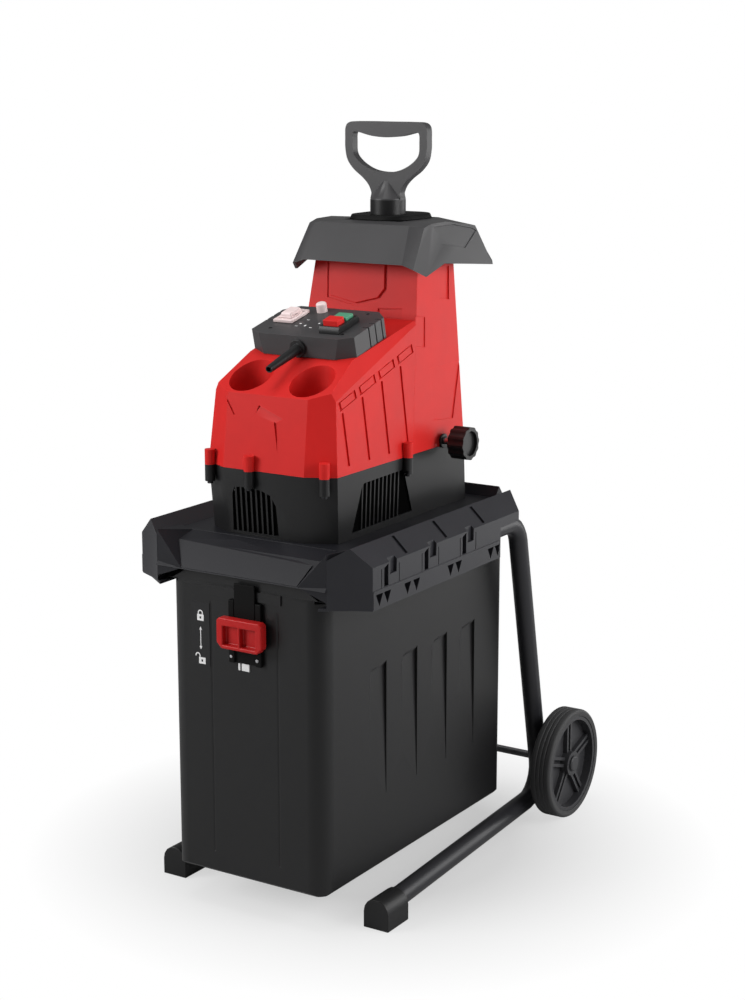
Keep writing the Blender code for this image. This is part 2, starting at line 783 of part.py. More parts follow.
def side_rail(side):
    """Long moulded bar along the deck's side, with a channel below for the tube and a ledge for the bin."""
    outline = [
        (LEDGE_X, RAIL_LOW_Z),
        (RAIL_OUT_X, RAIL_LOW_Z),
        (RAIL_OUT_X, SHOULDER_Z),
        (RIDGE_X, RIDGE_Z),
        (RAIL_IN_X, DECK_Z),
        (RAIL_IN_X, RAIL_LOW_Z + LEDGE_T),
        (LEDGE_X, RAIL_LOW_Z + LEDGE_T),
    ]
    long_front = RAIL_NOSE_Y - 0.02
    long_rear = RAIL_BACK_Y + 0.02
    shape = prism(outline, "Y", long_front, long_rear)
    far = RAIL_OUT_X + BEYOND
    near = RAIL_IN_X - BEYOND
    ahead = RAIL_NOSE_Y - BEYOND
    inner_slope = (RAIL_NOSE_Y - RAIL_CORNER_Y) / (RIDGE_X - RAIL_IN_X)
    outer_slope = (RAIL_SIDE_FRONT_Y - RAIL_CORNER_Y) / (RAIL_OUT_X - RIDGE_X)
    nose = prism(
        [
            (RIDGE_X, RAIL_CORNER_Y),
            (near, RAIL_NOSE_Y + inner_slope * BEYOND),
            (near, ahead - BEYOND),
            (far, ahead - BEYOND),
            (far, RAIL_SIDE_FRONT_Y + outer_slope * BEYOND),
        ],
        "Z",
        RAIL_LOW_Z - 0.01,
        RIDGE_Z + 0.01,
    )
    slant = (RAIL_BACK_Y - LIP_REAR_Y) / (RAIL_OUT_X - RAIL_IN_X)
    tail = prism(
        [
            (LEDGE_X - 0.01, RAIL_BACK_Y + slant * (RAIL_IN_X - LEDGE_X + 0.01)),
            (far, LIP_REAR_Y - slant * (far - RAIL_OUT_X)),
            (far, far),
            (LEDGE_X - 0.01, far),
        ],
        "Z",
        RAIL_LOW_Z - 0.01,
        RIDGE_Z + 0.01,
    )
    undercut = block((LEDGE_X - 0.01, RAIL_SIDE_REAR_Y, RAIL_LOW_Z - 0.01), (far, far, SHOULDER_Z - LIP_T))
    reach = TUBE_R + FIT
    channel = block(
        (TUBE_TOP_X - reach, TUBE_TOP_FRONT_Y - FIT, RAIL_LOW_Z - 0.01),
        (TUBE_TOP_X + reach, far, TUBE_TOP_Z + reach),
    )
    shape = cut(shape, nose, tail, undercut, channel)
    fall = Vector((RAIL_OUT_X - RIDGE_X, 0, SHOULDER_Z - RIDGE_Z))
    turn = Matrix.Rotation(math.atan2(-fall.z, fall.x), 4, "Y")
    middle = Vector(((RAIL_OUT_X + RIDGE_X) / 2, 0, (SHOULDER_Z + RIDGE_Z) / 2))
    grooves = []
    for step in (-1, 0, 1):
        reach = fall.length * 0.42
        groove = block((-reach, -GROOVE_W / 2, -GROOVE_DEPTH), (reach, GROOVE_W / 2, GROOVE_DEPTH))
        place = middle + AXES["Y"] * (GROOVE_Y + step * GROOVE_PITCH)
        grooves.append(moved(groove, Matrix.Translation(place) @ turn))
        slot_y = CLIP_SLOT_Y + step * CLIP_PITCH
        low = SHOULDER_Z - 0.006 - CLIP_SLOT_H
        grooves.append(
            block(
                (RAIL_OUT_X - CLIP_SLOT_DEPTH, slot_y - CLIP_SLOT_W / 2, low),
                (RAIL_OUT_X + 0.01, slot_y + CLIP_SLOT_W / 2, low + CLIP_SLOT_H),
            )
        )
    return flipped(cut(shape, *grooves), side)


def chip_opening(low, high):
    """The way for chips, cut through the housing's floor and the deck."""
    return block(
        (CHAMBER_LEFT_X + 0.0015, CHAMBER_FRONT_Y + 0.002, low),
        (CHAMBER_RIGHT_X - 0.002, CHAMBER_REAR_Y - 0.002, high),
    )


def deck():
    """Plate between the rails, with a sloping apron in front and a raised rim behind."""
    half = RAIL_IN_X - FIT
    low = DECK_Z - DECK_T
    plate = block((-half, DECK_FRONT_Y - 0.002, low), (half, RIM_START_Y + 0.01, DECK_Z))
    apron_low_z = DECK_Z - APRON_DROP
    break_z = DECK_Z - APRON_BREAK_DROP
    apron = prism(
        [
            (DECK_FRONT_Y + 0.004, DECK_Z),
            (DECK_FRONT_Y, DECK_Z),
            (APRON_BREAK_Y, break_z),
            (APRON_LOW_Y, apron_low_z),
            (APRON_LOW_Y + APRON_T, apron_low_z),
            (APRON_BREAK_Y + APRON_T * 0.7, break_z - APRON_T),
            (DECK_FRONT_Y + 0.004, low),
        ],
        "X",
        -half,
        half,
    )
    rim = prism(
        [
            (RIM_START_Y, low),
            (RIM_START_Y, DECK_Z),
            (RIM_RIDGE_Y, RIDGE_Z),
            (DECK_REAR_Y, SHOULDER_Z),
            (DECK_REAR_Y, low - 0.006),
            (DECK_REAR_Y - 0.006, low - 0.006),
        ],
        "X",
        -half,
        half,
    )
    wedges = []
    for side in (1, -1):
        wedge = hull(
            [
                (APRON_HALF_W, APRON_LOW_Y + 0.0005, apron_low_z + 0.001),
                (half, RAIL_NOSE_Y, RIDGE_Z - 0.008),
                (half, RAIL_NOSE_Y, BIN_TOP_Z + WEDGE_GAP),
                (half, DECK_FRONT_Y, DECK_Z + 0.003),
                (APRON_HALF_W + 0.022, DECK_FRONT_Y, DECK_Z - 0.001),
                (half, DECK_FRONT_Y, low + 0.001),
            ]
        )
        wedges.append(flipped(wedge, side))
    shape = join(plate, apron, rim, *wedges)
    return cut(shape, chip_opening(low - 0.02, DECK_Z + 0.02))


def safety_switch():
    """Small switch under the apron that the latch's tongue works."""
    top = DECK_Z - DECK_T - FIT
    half = SAFETY_W / 2
    low = top - SAFETY_H
    front = SAFETY_Y + SAFETY_LEVER_L
    body = block((-half, front, low), (half, front + SAFETY_L, top))
    lever_low = low + SAFETY_LEVER_RISE
    lever_high = lever_low + SAFETY_LEVER_T
    lever = block((-half / 3, SAFETY_Y, lever_low), (half / 3, front + SAFETY_LEVER_ROOT, lever_high))
    return join(body, lever)


def build_deck(paints):
    node("deck", deck(), paints["deck"])
    node("side_rail_right", side_rail(1), paints["deck"])
    node("side_rail_left", side_rail(-1), paints["deck"])
    node("safety_switch", safety_switch(), paints["black"])


# Collecting bin


def collection_bin():
    """Open tub with rounded corners, ribbed sides and a flange that hangs on the rails' ledges."""
    spread = BIN_FLANGE_X - BIN_HALF_W
    neck_z = BIN_TOP_Z - BIN_FLANGE_T

    def ring(inset, z, wide=0.0):
        points = rounded_box_ring(
            BIN_HALF_W - inset, BIN_FRONT_Y + inset, BIN_REAR_Y - inset, BIN_CORNER_R - inset, z
        )
        middle_y = (BIN_FRONT_Y + BIN_REAR_Y) / 2
        for point in points:
            if wide:
                point.x *= (BIN_HALF_W + wide) / BIN_HALF_W
                point.y = middle_y + (point.y - middle_y) * 0.999
        return points

    foot_in = 0.004
    outer = [ring(foot_in, BIN_BOTTOM_Z), ring(0, BIN_BOTTOM_Z + foot_in), ring(0, neck_z)]
    rim = [ring(0, neck_z, spread), ring(0, BIN_TOP_Z, spread), ring(WALL, BIN_TOP_Z)]
    inner = [ring(WALL, BIN_BOTTOM_Z + WALL + foot_in), ring(WALL + foot_in, BIN_BOTTOM_Z + WALL)]
    shape = bmesh.new()
    rows = [[shape.verts.new(point) for point in row] for row in outer + rim + inner]
    for row, after in zip(rows, rows[1:]):
        for i, corner in enumerate(row):
            j = (i + 1) % len(row)
            shape.faces.new((corner, row[j], after[j], after[i]))
    shape.faces.new(rows[0])
    shape.faces.new(rows[-1])
    bmesh.ops.recalc_face_normals(shape, faces=shape.faces[:])
    ribs = []
    for side in (1, -1):
        for rib in range(BIN_RIBS):
            front = BIN_RIB_FIRST_Y - BIN_RIB_W / 2 + rib * BIN_RIB_PITCH
            rear = front + BIN_RIB_W
            skirt = 0.014
            face = BIN_HALF_W + BIN_RIB_H
            back = BIN_HALF_W - WALL / 2
            points = []
            for x, y0, y1, top in ((face, front, rear, 0), (back, front - 0.006, rear + 0.006, 0.006)):
                points.append((x, y0, BIN_RIB_TOP_Z - skirt + top))
                points.append((x, y1, BIN_RIB_TOP_Z + top))
                points.append((x, y0, BIN_RIB_FOOT_Z - top))
                points.append((x, y1, BIN_RIB_FOOT_Z - top))
            ribs.append(flipped(hull(points), side))
    lip_top = DECK_Z - APRON_DROP - BIN_LIP_GAP
    lip_low = neck_z - 0.004
    wide = BIN_LIP_HALF_W + BIN_LIP_SPREAD
    outline = [(-wide, lip_low), (wide, lip_low), (wide, BIN_TOP_Z - 0.001), (BIN_LIP_HALF_W, lip_top)]
    outline += [(-BIN_LIP_HALF_W, lip_top), (-wide, BIN_TOP_Z - 0.001)]
    lip = prism(outline, "Y", BIN_FRONT_Y + 0.0005, BIN_FRONT_Y + WALL - 0.0005)
    return join(shape, lip, *ribs)


def latch_guide():
    """Backing plate on the bin's front with a rail each side of the tongue."""
    back = BIN_FRONT_Y - FIT
    low = LATCH_Z - GUIDE_H / 2
    high = LATCH_Z + GUIDE_H / 2
    reach = GUIDE_W / 2
    shape = block((LATCH_X - reach, back - GUIDE_T - FIT - TONGUE_T, low), (LATCH_X + reach, back, high))
    half = TONGUE_W / 2 + FIT
    channel = block(
        (LATCH_X - half, back - GUIDE_T - 0.02, low - 0.01), (LATCH_X + half, back - GUIDE_T, high + 0.01)
    )
    return cut(shape, channel)


def tongue_back_y():
    return BIN_FRONT_Y - GUIDE_T - 2 * FIT


def latch_tongue():
    """Flat bolt behind the slider that goes up inside the deck's apron and locks the bin."""
    back = tongue_back_y()
    low = LATCH_Z - LATCH_H / 2 + 0.004
    half = TONGUE_W / 2
    return block((LATCH_X - half, back - TONGUE_T, low), (LATCH_X + half, back, TONGUE_TOP_Z))


def latch_slider():
    """Red slide with a finger pocket each side of a rib."""
    back = tongue_back_y() - TONGUE_T - FIT
    half_h = LATCH_H / 2
    corner = 0.008
    half_w = LATCH_W / 2
    half_outline = [
        (half_w - corner, -half_h),
        (half_w, corner - half_h),
        (half_w, half_h - corner / 2),
        (half_w - corner / 2, half_h),
    ]
    outline = [(LATCH_X + x, LATCH_Z + z) for x, z in half_outline]
    outline += [(LATCH_X - x, LATCH_Z + z) for x, z in reversed(half_outline)]
    shape = prism(outline, "Y", back - LATCH_T, back)
    low = LATCH_Z - POCKET_H / 2 - 0.003
    pockets = []
    for start, end in ((-POCKET_W / 2, -POCKET_RIB / 2), (POCKET_RIB / 2, POCKET_W / 2)):
        mouth = (LATCH_X + start, back - LATCH_T - 0.001, low)
        pockets.append(block(mouth, (LATCH_X + end, back - LATCH_T + POCKET_DEPTH, low + POCKET_H)))
    return cut(shape, *pockets)


def build_bin(paints):
    node("collection_bin", collection_bin(), paints["black"])
    node("latch_guide", latch_guide(), paints["black"])
    node("latch_tongue", latch_tongue(), paints["black"])
    node("latch_slider", latch_slider(), paints["red"])


# Housing shells


def footprint_planes():
    """Planes that the lower housing keeps inside: sides, front, corner chamfers and rear."""
    inside = (0, (SPLIT_FRONT_Y + HOUSING_REAR_Y) / 2, (HOUSING_Z + SPLIT_Z) / 2)
    front_foot = (0, BASE_FRONT_Y, HOUSING_Z)
    planes = [facet(front_foot, (1, BASE_FRONT_Y, HOUSING_Z), (0, SPLIT_FRONT_Y, SPLIT_Z), inside)]
    for side in (1, -1):
        low = Vector((side * BASE_HALF_W, 0, HOUSING_Z))
        high = Vector((side * SPLIT_HALF_W, 0, SPLIT_Z))
        planes.append(facet(low, low + AXES["Y"], high, inside))
        planes.append(
            facet(
                (side * SPLIT_HALF_W, SPLIT_FRONT_Y + CHAMFER_Y, SPLIT_Z),
                (side * (SPLIT_HALF_W - CHAMFER_X), SPLIT_FRONT_Y, SPLIT_Z),
                (side * (BASE_HALF_W - CHAMFER_X), BASE_FRONT_Y, HOUSING_Z),
                inside,
            )
        )
        planes.append(rear_chamfer(side, inside))
    return planes


def rear_chamfer(side, inside):
    low = (side * SPLIT_HALF_W, HOUSING_REAR_Y - REAR_CHAMFER_Y, SPLIT_Z)
    high = (side * TOWER_TOP_HALF_W, HOUSING_REAR_Y - REAR_CHAMFER_Y, TOWER_TOP_Z)
    return facet(low, (side * (SPLIT_HALF_W - REAR_CHAMFER_X), HOUSING_REAR_Y, SPLIT_Z), high, inside)


def boss_places():
    """Where the screws that hold the two housings together stand, at the split."""
    corner_x = SPLIT_HALF_W - CHAMFER_X * 0.30
    corner_y = SPLIT_FRONT_Y + CHAMFER_Y * 0.36
    places = [("front", FRONT_BOSS_X, SPLIT_FRONT_Y - BOSS_OUT)]
    for side, word in ((1, "right"), (-1, "left")):
        places.append(("corner_" + word, side * corner_x, corner_y))
        places.append(("side_" + word, side * (SPLIT_HALF_W + BOSS_OUT), SIDE_BOSS_Y))
    return places


def vents():
    """Upright slots through the lower housing's front and both sides."""
    tools = []
    low = HOUSING_Z + VENT_LOW
    for count in range(SIDE_VENTS):
        y = SIDE_VENT_Y + (count - (SIDE_VENTS - 1) / 2) * VENT_PITCH
        for side in (1, -1):
            x = side * SPLIT_HALF_W
            tools.append(
                block((x - 0.012, y - VENT_W / 2, low), (x + 0.012, y + VENT_W / 2, low + VENT_H))
            )
    for count in range(FRONT_VENTS):
        offset = count - (FRONT_VENTS - 1) / 2
        x = FRONT_VENT_X + offset * VENT_PITCH
        tall = FRONT_VENT_H - 0.0012 * offset * offset
        tools.append(
            block(
                (x - VENT_W / 2, SPLIT_FRONT_Y - 0.01, low),
                (x + VENT_W / 2, BASE_FRONT_Y + 0.01, low + tall),
            )
        )
    return tools


def lower_housing():
    far = SPLIT_HALF_W + 0.05
    planes = footprint_planes()
    shape = planed((-far, SPLIT_FRONT_Y - 0.05, HOUSING_Z), (far, HOUSING_REAR_Y, SPLIT_Z), planes)
    hollow = planed(
        (-far, SPLIT_FRONT_Y - 0.05, FLOOR_TOP_Z),
        (far, HOUSING_REAR_Y - WALL, SPLIT_Z + 0.05),
        sunk(planes, WALL),
    )
    bosses = [rod((x, y, 0), "Z", BOSS_R, SPLIT_Z - BOSS_LOW, SPLIT_Z, 16) for _, x, y in boss_places()]
    shape = cut(join(shape, *bosses), hollow)
    holes = [
        rod((x, y, 0), "Z", SCREW_D / 2 + FIT, SPLIT_Z - BOSS_LOW - 0.01, SPLIT_Z + 0.01, 12)
        for _, x, y in boss_places()
    ]
    reach = BUSH_D / 2 + FIT
    notch = rod((0, SPINDLE_Y, SPINDLE_Z), "X", reach, SPLIT_HALF_W - 0.02, SPLIT_HALF_W + 0.02)
    tools = holes + vents() + [chip_opening(HOUSING_Z - 0.01, FLOOR_TOP_Z + 0.01)]
    if SPINDLE_Z - reach < SPLIT_Z:
        tools.append(notch)
    return cut(shape, *tools)


def tower_front(gap):
    """The tower's front plane, moved forward by a gap, with its outward normal."""
    normal = Vector((0, -1, TOWER_FRONT_LEAN)).normalized()
    return Vector((0, TOWER_FRONT_Y, TOWER_TOP_Z)) + normal * gap, normal


def side_plane(side, inside):
    low = Vector((side * SPLIT_HALF_W, 0, SPLIT_Z))
    high = Vector((side * TOWER_TOP_HALF_W, 0, TOWER_TOP_Z))
    return facet(low, low + AXES["Y"], high, inside)


def side_x(z):
    """Half width of the red housing at a height."""
    return SPLIT_HALF_W - SIDE_LEAN * (z - SPLIT_Z)


def cover_planes():
    inside = (0, PANEL_FOOT_Y, COVER_Z + 0.02)
    top_line = Vector((0, COVER_FRONT_TOP_Y, COVER_FRONT_TOP_Z))
    planes = [
        facet((0, SPLIT_FRONT_Y, COVER_Z), (1, SPLIT_FRONT_Y, COVER_Z), top_line, inside),
        facet(top_line, top_line + AXES["X"], PANEL_FOOT, inside),
        (PANEL_FOOT, PANEL_NORMAL),
    ]
    front_point, front_normal = tower_front(FIT)
    planes.append((front_point, -front_normal))
    for side in (1, -1):
        planes.append(side_plane(side, inside))
        low = Vector((side * SPLIT_HALF_W, SPLIT_FRONT_Y + CHAMFER_Y, COVER_Z))
        across = Vector((side * (SPLIT_HALF_W - CHAMFER_X), SPLIT_FRONT_Y, COVER_Z))
        top = Vector((side * (SPLIT_HALF_W - CHAMFER_X - 0.001), COVER_FRONT_TOP_Y, COVER_FRONT_TOP_Z))
        planes.append(facet(low, across, top, inside))
        edge = Vector((side * PANEL_HALF_W, PANEL_FOOT_Y, PANEL_FOOT_Z))
        outer = edge + Vector((side * SHOULDER_RUN, 0, -SHOULDER_RUN * 1.9))
        along = edge + Vector((0, 1, math.tan(PANEL_TILT) * 1.25))
        planes.append(facet(edge, outer, along, inside))
    return planes


def side_grooves():
    """Slanted grooves down both flanks of the motor cover."""
    tools = []
    for count in range(SIDE_GROOVES):
        foot_y = SPLIT_FRONT_Y + SIDE_GROOVE_FIRST + count * SIDE_GROOVE_PITCH
        low_z = COVER_Z + SIDE_GROOVE_LOW
        high_z = COVER_Z + SIDE_GROOVE_HIGH + count * SIDE_GROOVE_PITCH * 0.30
        for side in (1, -1):
            points = []
            for z, y in ((low_z, foot_y), (high_z, foot_y - SIDE_GROOVE_LEAN)):
                for shift in (-SIDE_GROOVE_W / 2, SIDE_GROOVE_W / 2):
                    points.append((side * (side_x(z) - SIDE_GROOVE_DEPTH), y + shift, z))
                    points.append((side * (side_x(z) + 0.01), y + shift, z))
            tools.append(hull(points))
    return tools


def motor_cover():
    """Front shell over the motor, with two round wells in its sloping top."""
    far = SPLIT_HALF_W + 0.05
    planes = cover_planes()
    low = (-far, SPLIT_FRONT_Y - 0.05, COVER_Z)
    high = (far, 0, PANEL_FOOT_Z + 0.1)
    shape = planed(low, high, planes)
    hollow_planes = sunk(planes, WALL)
    hollow_planes[3] = (planes[3][0] - planes[3][1] * -0.02, planes[3][1])
    hollow = planed((low[0], low[1], COVER_Z - 0.05), high, hollow_planes)
    well_y = COVER_FRONT_TOP_Y + WELL_BACK
    slope = COVER_SLOPE_RISE / COVER_SLOPE_RUN
    well_z = COVER_FRONT_TOP_Z + slope * WELL_BACK - WELL_DEPTH
    top = COVER_FRONT_TOP_Z + 0.1
    cups = []
    wells = []
    for side in (1, -1):
        centre = (side * WELL_X, well_y, 0)
        cups.append(rod(centre, "Z", WELL_R + WALL, well_z - WALL, top, 28))
        wells.append(rod(centre, "Z", WELL_R, well_z, top, 28))
    hollow = cut(hollow, *cups)
    bosses = [rod((x, y, 0), "Z", BOSS_R, COVER_Z, COVER_Z + BOSS_HIGH, 16) for _, x, y in boss_places()]
    shape = cut(join(shape, *bosses), hollow)
    holes = [
        rod((x, y, 0), "Z", SCREW_D / 2 + FIT, COVER_Z - 0.01, COVER_Z + 0.016, 12)
        for _, x, y in boss_places()
    ]
    return cut(shape, *wells, *holes, *side_grooves(), *sleeve_room())


def tower_planes():
    inside = (0, PLUNGER_Y, (COVER_Z + TOWER_TOP_Z) / 2)
    planes = [tower_front(0)]
    for side in (1, -1):
        planes.append(side_plane(side, inside))
        planes.append(rear_chamfer(side, inside))
    return planes


def hopper_tower():
    """Rear shell over the cutting roller, open above for the chute and in front towards the gears."""
    far = SPLIT_HALF_W + 0.05
    planes = tower_planes()
    shape = planed((-far, -0.2, COVER_Z), (far, HOUSING_REAR_Y, TOWER_TOP_Z), planes)
    hollow = planed(
        (-far, -0.2, COVER_Z - 0.05), (far, HOUSING_REAR_Y - WALL, TOWER_TOP_Z + 0.05), sunk(planes, WALL)
    )
    shape = cut(shape, hollow)
    gear_way = block(
        (-GEAR_PLATE_HALF_W - 0.006, -0.2, COVER_Z - 0.05), (GEAR_PLATE_HALF_W + 0.006, 0, FRAME_TOP_Z + 0.06)
    )
    reach = BUSH_D / 2 + FIT
    wall_x = side_x(SPINDLE_Z)
    bush_hole = rod((0, SPINDLE_Y, SPINDLE_Z), "X", reach, wall_x - 0.02, wall_x + 0.02)
    bush_way = block(
        (wall_x - 0.02, SPINDLE_Y - reach, COVER_Z - 0.02), (wall_x + 0.02, SPINDLE_Y + reach, SPINDLE_Z)
    )
    return cut(shape, gear_way, bush_hole, bush_way)


def rear_cover():
    """Flat service cover on the tower's back."""
    front = HOUSING_REAR_Y + FIT
    low = COVER_Z + REAR_COVER_LOW
    chamfer = 0.012
    half = REAR_COVER_HALF_W
    outline = [
        (-half, low),
        (half, low),
        (half, low + REAR_COVER_H - chamfer),
        (half - chamfer, low + REAR_COVER_H),
        (chamfer - half, low + REAR_COVER_H),
        (-half, low + REAR_COVER_H - chamfer),
    ]
    return prism(outline, "Y", front, front + REAR_COVER_T)


def hopper_chute():
    """Square inner shaft from the hood's mouth down to the cutting roller, hung on a flange."""
    low = FRAME_TOP_Z + FIT
    high = hood_top_z() - HOOD_T - FIT - CHUTE_PLAY
    seat = TOWER_TOP_Z + FIT
    out_x = CHUTE_HALF_W + CHUTE_T
    out_front = CHUTE_FRONT_Y - CHUTE_T
    out_rear = CHUTE_REAR_Y + CHUTE_T
    shaft = block((-out_x, out_front, low), (out_x, out_rear, high))
    flange = block(
        (-TOWER_TOP_HALF_W + 0.002, TOWER_FRONT_Y + 0.001, seat),
        (TOWER_TOP_HALF_W - 0.002, HOUSING_REAR_Y - 0.002, seat + CHUTE_FLANGE_T),
    )
    inside = block((-CHUTE_HALF_W, CHUTE_FRONT_Y, low - 0.02), (CHUTE_HALF_W, CHUTE_REAR_Y, high + 0.02))
    return cut(join(shaft, flange), inside)


def hood_top_z():
    return TOWER_TOP_Z + HOOD_TOP


def hood():
    """Flared rain cap: a skirt with a drooping wing each side, and a square mouth in its top.

    Its rings are half outlines about the plunger's axis, with heights from the crown.
    """
    top = hood_top_z()
    skirt = [
        (0.0, -SKIRT_FRONT, -SKIRT_DROP),
        (SKIRT_FLAT_HALF_W, -SKIRT_FRONT, -SKIRT_DROP),
        (SKIRT_CORNER_X, -SKIRT_FRONT, -SKIRT_CORNER_DROP),
        (SKIRT_TIP_X, -SKIRT_TIP_Y, -SKIRT_TIP_DROP),
        (SKIRT_SIDE, -SKIRT_SIDE_Y, -SKIRT_SIDE_DROP),
        (SKIRT_SIDE, SKIRT_REAR_SIDE_Y, -SKIRT_REAR_SIDE_DROP),
        (SKIRT_REAR_CORNER_X, SKIRT_REAR, -SKIRT_REAR_CORNER_DROP),
        (0.0, SKIRT_REAR, -SKIRT_REAR_DROP),
    ]
    crown = [
        (0.0, -CROWN_FRONT, -CROWN_FRONT_DROP),
        (CROWN_FLAT_HALF_W, -CROWN_FRONT, -CROWN_FRONT_DROP),
        (CROWN_SIDE, -CROWN_CORNER_Y, -CROWN_CORNER_DROP),
        (CROWN_SIDE, -CROWN_SIDE_Y, -CROWN_SIDE_DROP),
        (CROWN_SIDE, -CROWN_TOP_Y, 0.0),
        (CROWN_SIDE, CROWN_REAR_SIDE_Y, -CROWN_REAR_SIDE_DROP),
        (CROWN_REAR_CORNER_X, CROWN_REAR, -CROWN_REAR_CORNER_DROP),
        (0.0, CROWN_REAR, -CROWN_REAR_DROP),
    ]
    half_w = HOOD_HOLE_HALF_W
    mouth_rows = [
        (0.0, -HOOD_HOLE_FRONT),
        (half_w * 0.6, -HOOD_HOLE_FRONT),
        (half_w, -HOOD_HOLE_FRONT),
        (half_w, -HOOD_HOLE_FRONT / 2),
        (half_w, HOOD_HOLE_SIDE_Y),
        (half_w, HOOD_HOLE_REAR),
        (half_w * 0.6, HOOD_HOLE_REAR),
        (0.0, HOOD_HOLE_REAR),
    ]
    mouth = [(x, y, 0.0) for x, y in mouth_rows]

    def whole(half, drop=0.0, shrink=0.0):
        """Both halves of a ring, lowered and drawn in towards the middle by a wall."""
        middle = Vector((0, HOOD_MIDDLE_Y))
        right = []
        for x, y, z in half:
            out = Vector((x, y)) - middle
            if shrink:
                out = out * (1 - shrink / out.length)
            right.append(Vector((out.x if x else 0.0, PLUNGER_Y + middle.y + out.y, top + z - drop)))
        left = [Vector((-p.x, p.y, p.z)) for p in reversed(right[1:-1])]
        return right + left

    rings = [
        whole(skirt),
        whole(crown),
        whole(mouth),
        whole(mouth, HOOD_T),
        whole(crown, HOOD_T, HOOD_T * 1.3),
        whole(skirt, 0.0, HOOD_T * 1.3),
    ]
    return looped(rings)


def cover_screw(x, y):
    """Screw from below, through the lower boss into the cover's."""
    seat = SPLIT_Z - BOSS_LOW - FIT
    outline = [
        (0, seat - SCREW_HEAD_T),
        (SCREW_HEAD_D / 2, seat - SCREW_HEAD_T),
        (SCREW_HEAD_D / 2, seat),
        (SCREW_D / 2, seat),
        (SCREW_D / 2, COVER_Z + 0.014),
        (0, COVER_Z + 0.014),
    ]
    return turned(outline, (x, y, 0), "Z", 10)


def build_housing(paints):
    node("lower_housing", lower_housing(), paints["black"])
    node("motor_cover", motor_cover(), paints["red"])
    node("hopper_tower", hopper_tower(), paints["red"])
    node("rear_cover", rear_cover(), paints["red"])
    node("hopper_chute", hopper_chute(), paints["black"])
    node("hood", hood(), paints["grey"])
    for word, x, y in boss_places():
        node("screw_" + word, cover_screw(x, y), paints["screw"])


# Control panel


def on_panel(shape):
    """Take a shape from the panel's own frame (X, up the slope, away from it) to the machine."""
    return moved(shape, PANEL_FRAME)


def panel_point(x, v, height):
    return PANEL_FRAME @ Vector((x, v, height))


def control_panel():
    """Hollow console cap with its top tilted towards the user."""
    corner = PANEL_CORNER
    planes = []
    inside = (0, PANEL_L / 2, -PANEL_T / 2)
    for side in (1, -1):
        edge = side * PANEL_HALF_W
        for v, step in ((0, corner * 0.6), (PANEL_L, -corner)):
            on_side = (edge, v + step, 0)
            planes.append(facet(on_side, (edge - side * corner, v, 0), (edge, v + step, 1), inside))
    planes.append(facet((0, 0, 0), (1, 0, 0), (0, -PANEL_FRONT_LEAN, -PANEL_T), inside))
    low = (-PANEL_HALF_W, -0.02, -PANEL_T)
    high = (PANEL_HALF_W, PANEL_L, 0)
    shape = planed(low, high, planes)
    hollow = planed(
        (low[0] + WALL, low[1], -PANEL_T - 0.02), (high[0] - WALL, high[1] - WALL, -WALL), sunk(planes, WALL)
    )
    shape = cut(shape, hollow)
    switch_hole = block(
        (SWITCH_X - BUTTON_W / 2 - 0.002, SWITCH_V - SWITCH_L / 2 + 0.004, -0.01),
        (SWITCH_X + BUTTON_W / 2 + 0.002, SWITCH_V + SWITCH_L / 2 - 0.004, 0.01),
    )
    rocker_hole = block(
        (ROCKER_X - ROCKER_W / 2 - 0.001, ROCKER_V - ROCKER_L / 2 - 0.001, -0.01),
        (ROCKER_X + ROCKER_W / 2 + 0.001, ROCKER_V + ROCKER_L / 2 + 0.001, 0.01),
    )
    overload_hole = rod((OVERLOAD_X, OVERLOAD_V, 0), "Z", OVERLOAD_D / 2 + FIT, -0.01, 0.01)
    return on_panel(cut(shape, switch_hole, rocker_hole, overload_hole))


def button_v(place):
    """Middle of the off (-1) or on (1) button, along the panel's slope."""
    return SWITCH_V + place * (BUTTON_L / 2 + 0.002)


def switch_base():
    half_w = SWITCH_W / 2
    shape = planed(
        (SWITCH_X - half_w, SWITCH_V - SWITCH_L / 2, FIT),
        (SWITCH_X + half_w, SWITCH_V + SWITCH_L / 2, SWITCH_H),
        [
            ((SWITCH_X, SWITCH_V - SWITCH_L / 2, SWITCH_H / 2), Vector((0, -1, 0.6)).normalized()),
            ((SWITCH_X, SWITCH_V + SWITCH_L / 2, SWITCH_H / 2), Vector((0, 1, 0.6)).normalized()),
        ],
    )
    holes = []
    for place in (-1, 1):
        v = button_v(place)
        holes.append(
            block(
                (SWITCH_X - BUTTON_W / 2 - FIT, v - BUTTON_L / 2 - FIT, -0.01),
                (SWITCH_X + BUTTON_W / 2 + FIT, v + BUTTON_L / 2 + FIT, SWITCH_H + 0.01),
            )
        )
    return on_panel(cut(shape, *holes))


def push_button(place, extra):
    v = button_v(place)
    top = SWITCH_H + BUTTON_H / 2 + extra
    low = SWITCH_H - BUTTON_H
    half_w = BUTTON_W / 2
    shape = block((SWITCH_X - half_w, v - BUTTON_L / 2, low), (SWITCH_X + half_w, v + BUTTON_L / 2, top))
    return on_panel(shape)


def rocker_frame():
    outer = block(
        (ROCKER_X - ROCKER_FRAME_W / 2, ROCKER_V - ROCKER_FRAME_L / 2, FIT),
        (ROCKER_X + ROCKER_FRAME_W / 2, ROCKER_V + ROCKER_FRAME_L / 2, ROCKER_FRAME_H),
    )
    play = 0.0006
    hole = block(
        (ROCKER_X - ROCKER_W / 2 - play, ROCKER_V - ROCKER_L / 2 - play, -0.01),
        (ROCKER_X + ROCKER_W / 2 + play, ROCKER_V + ROCKER_L / 2 + play, 0.02),
    )
    return on_panel(cut(outer, hole))


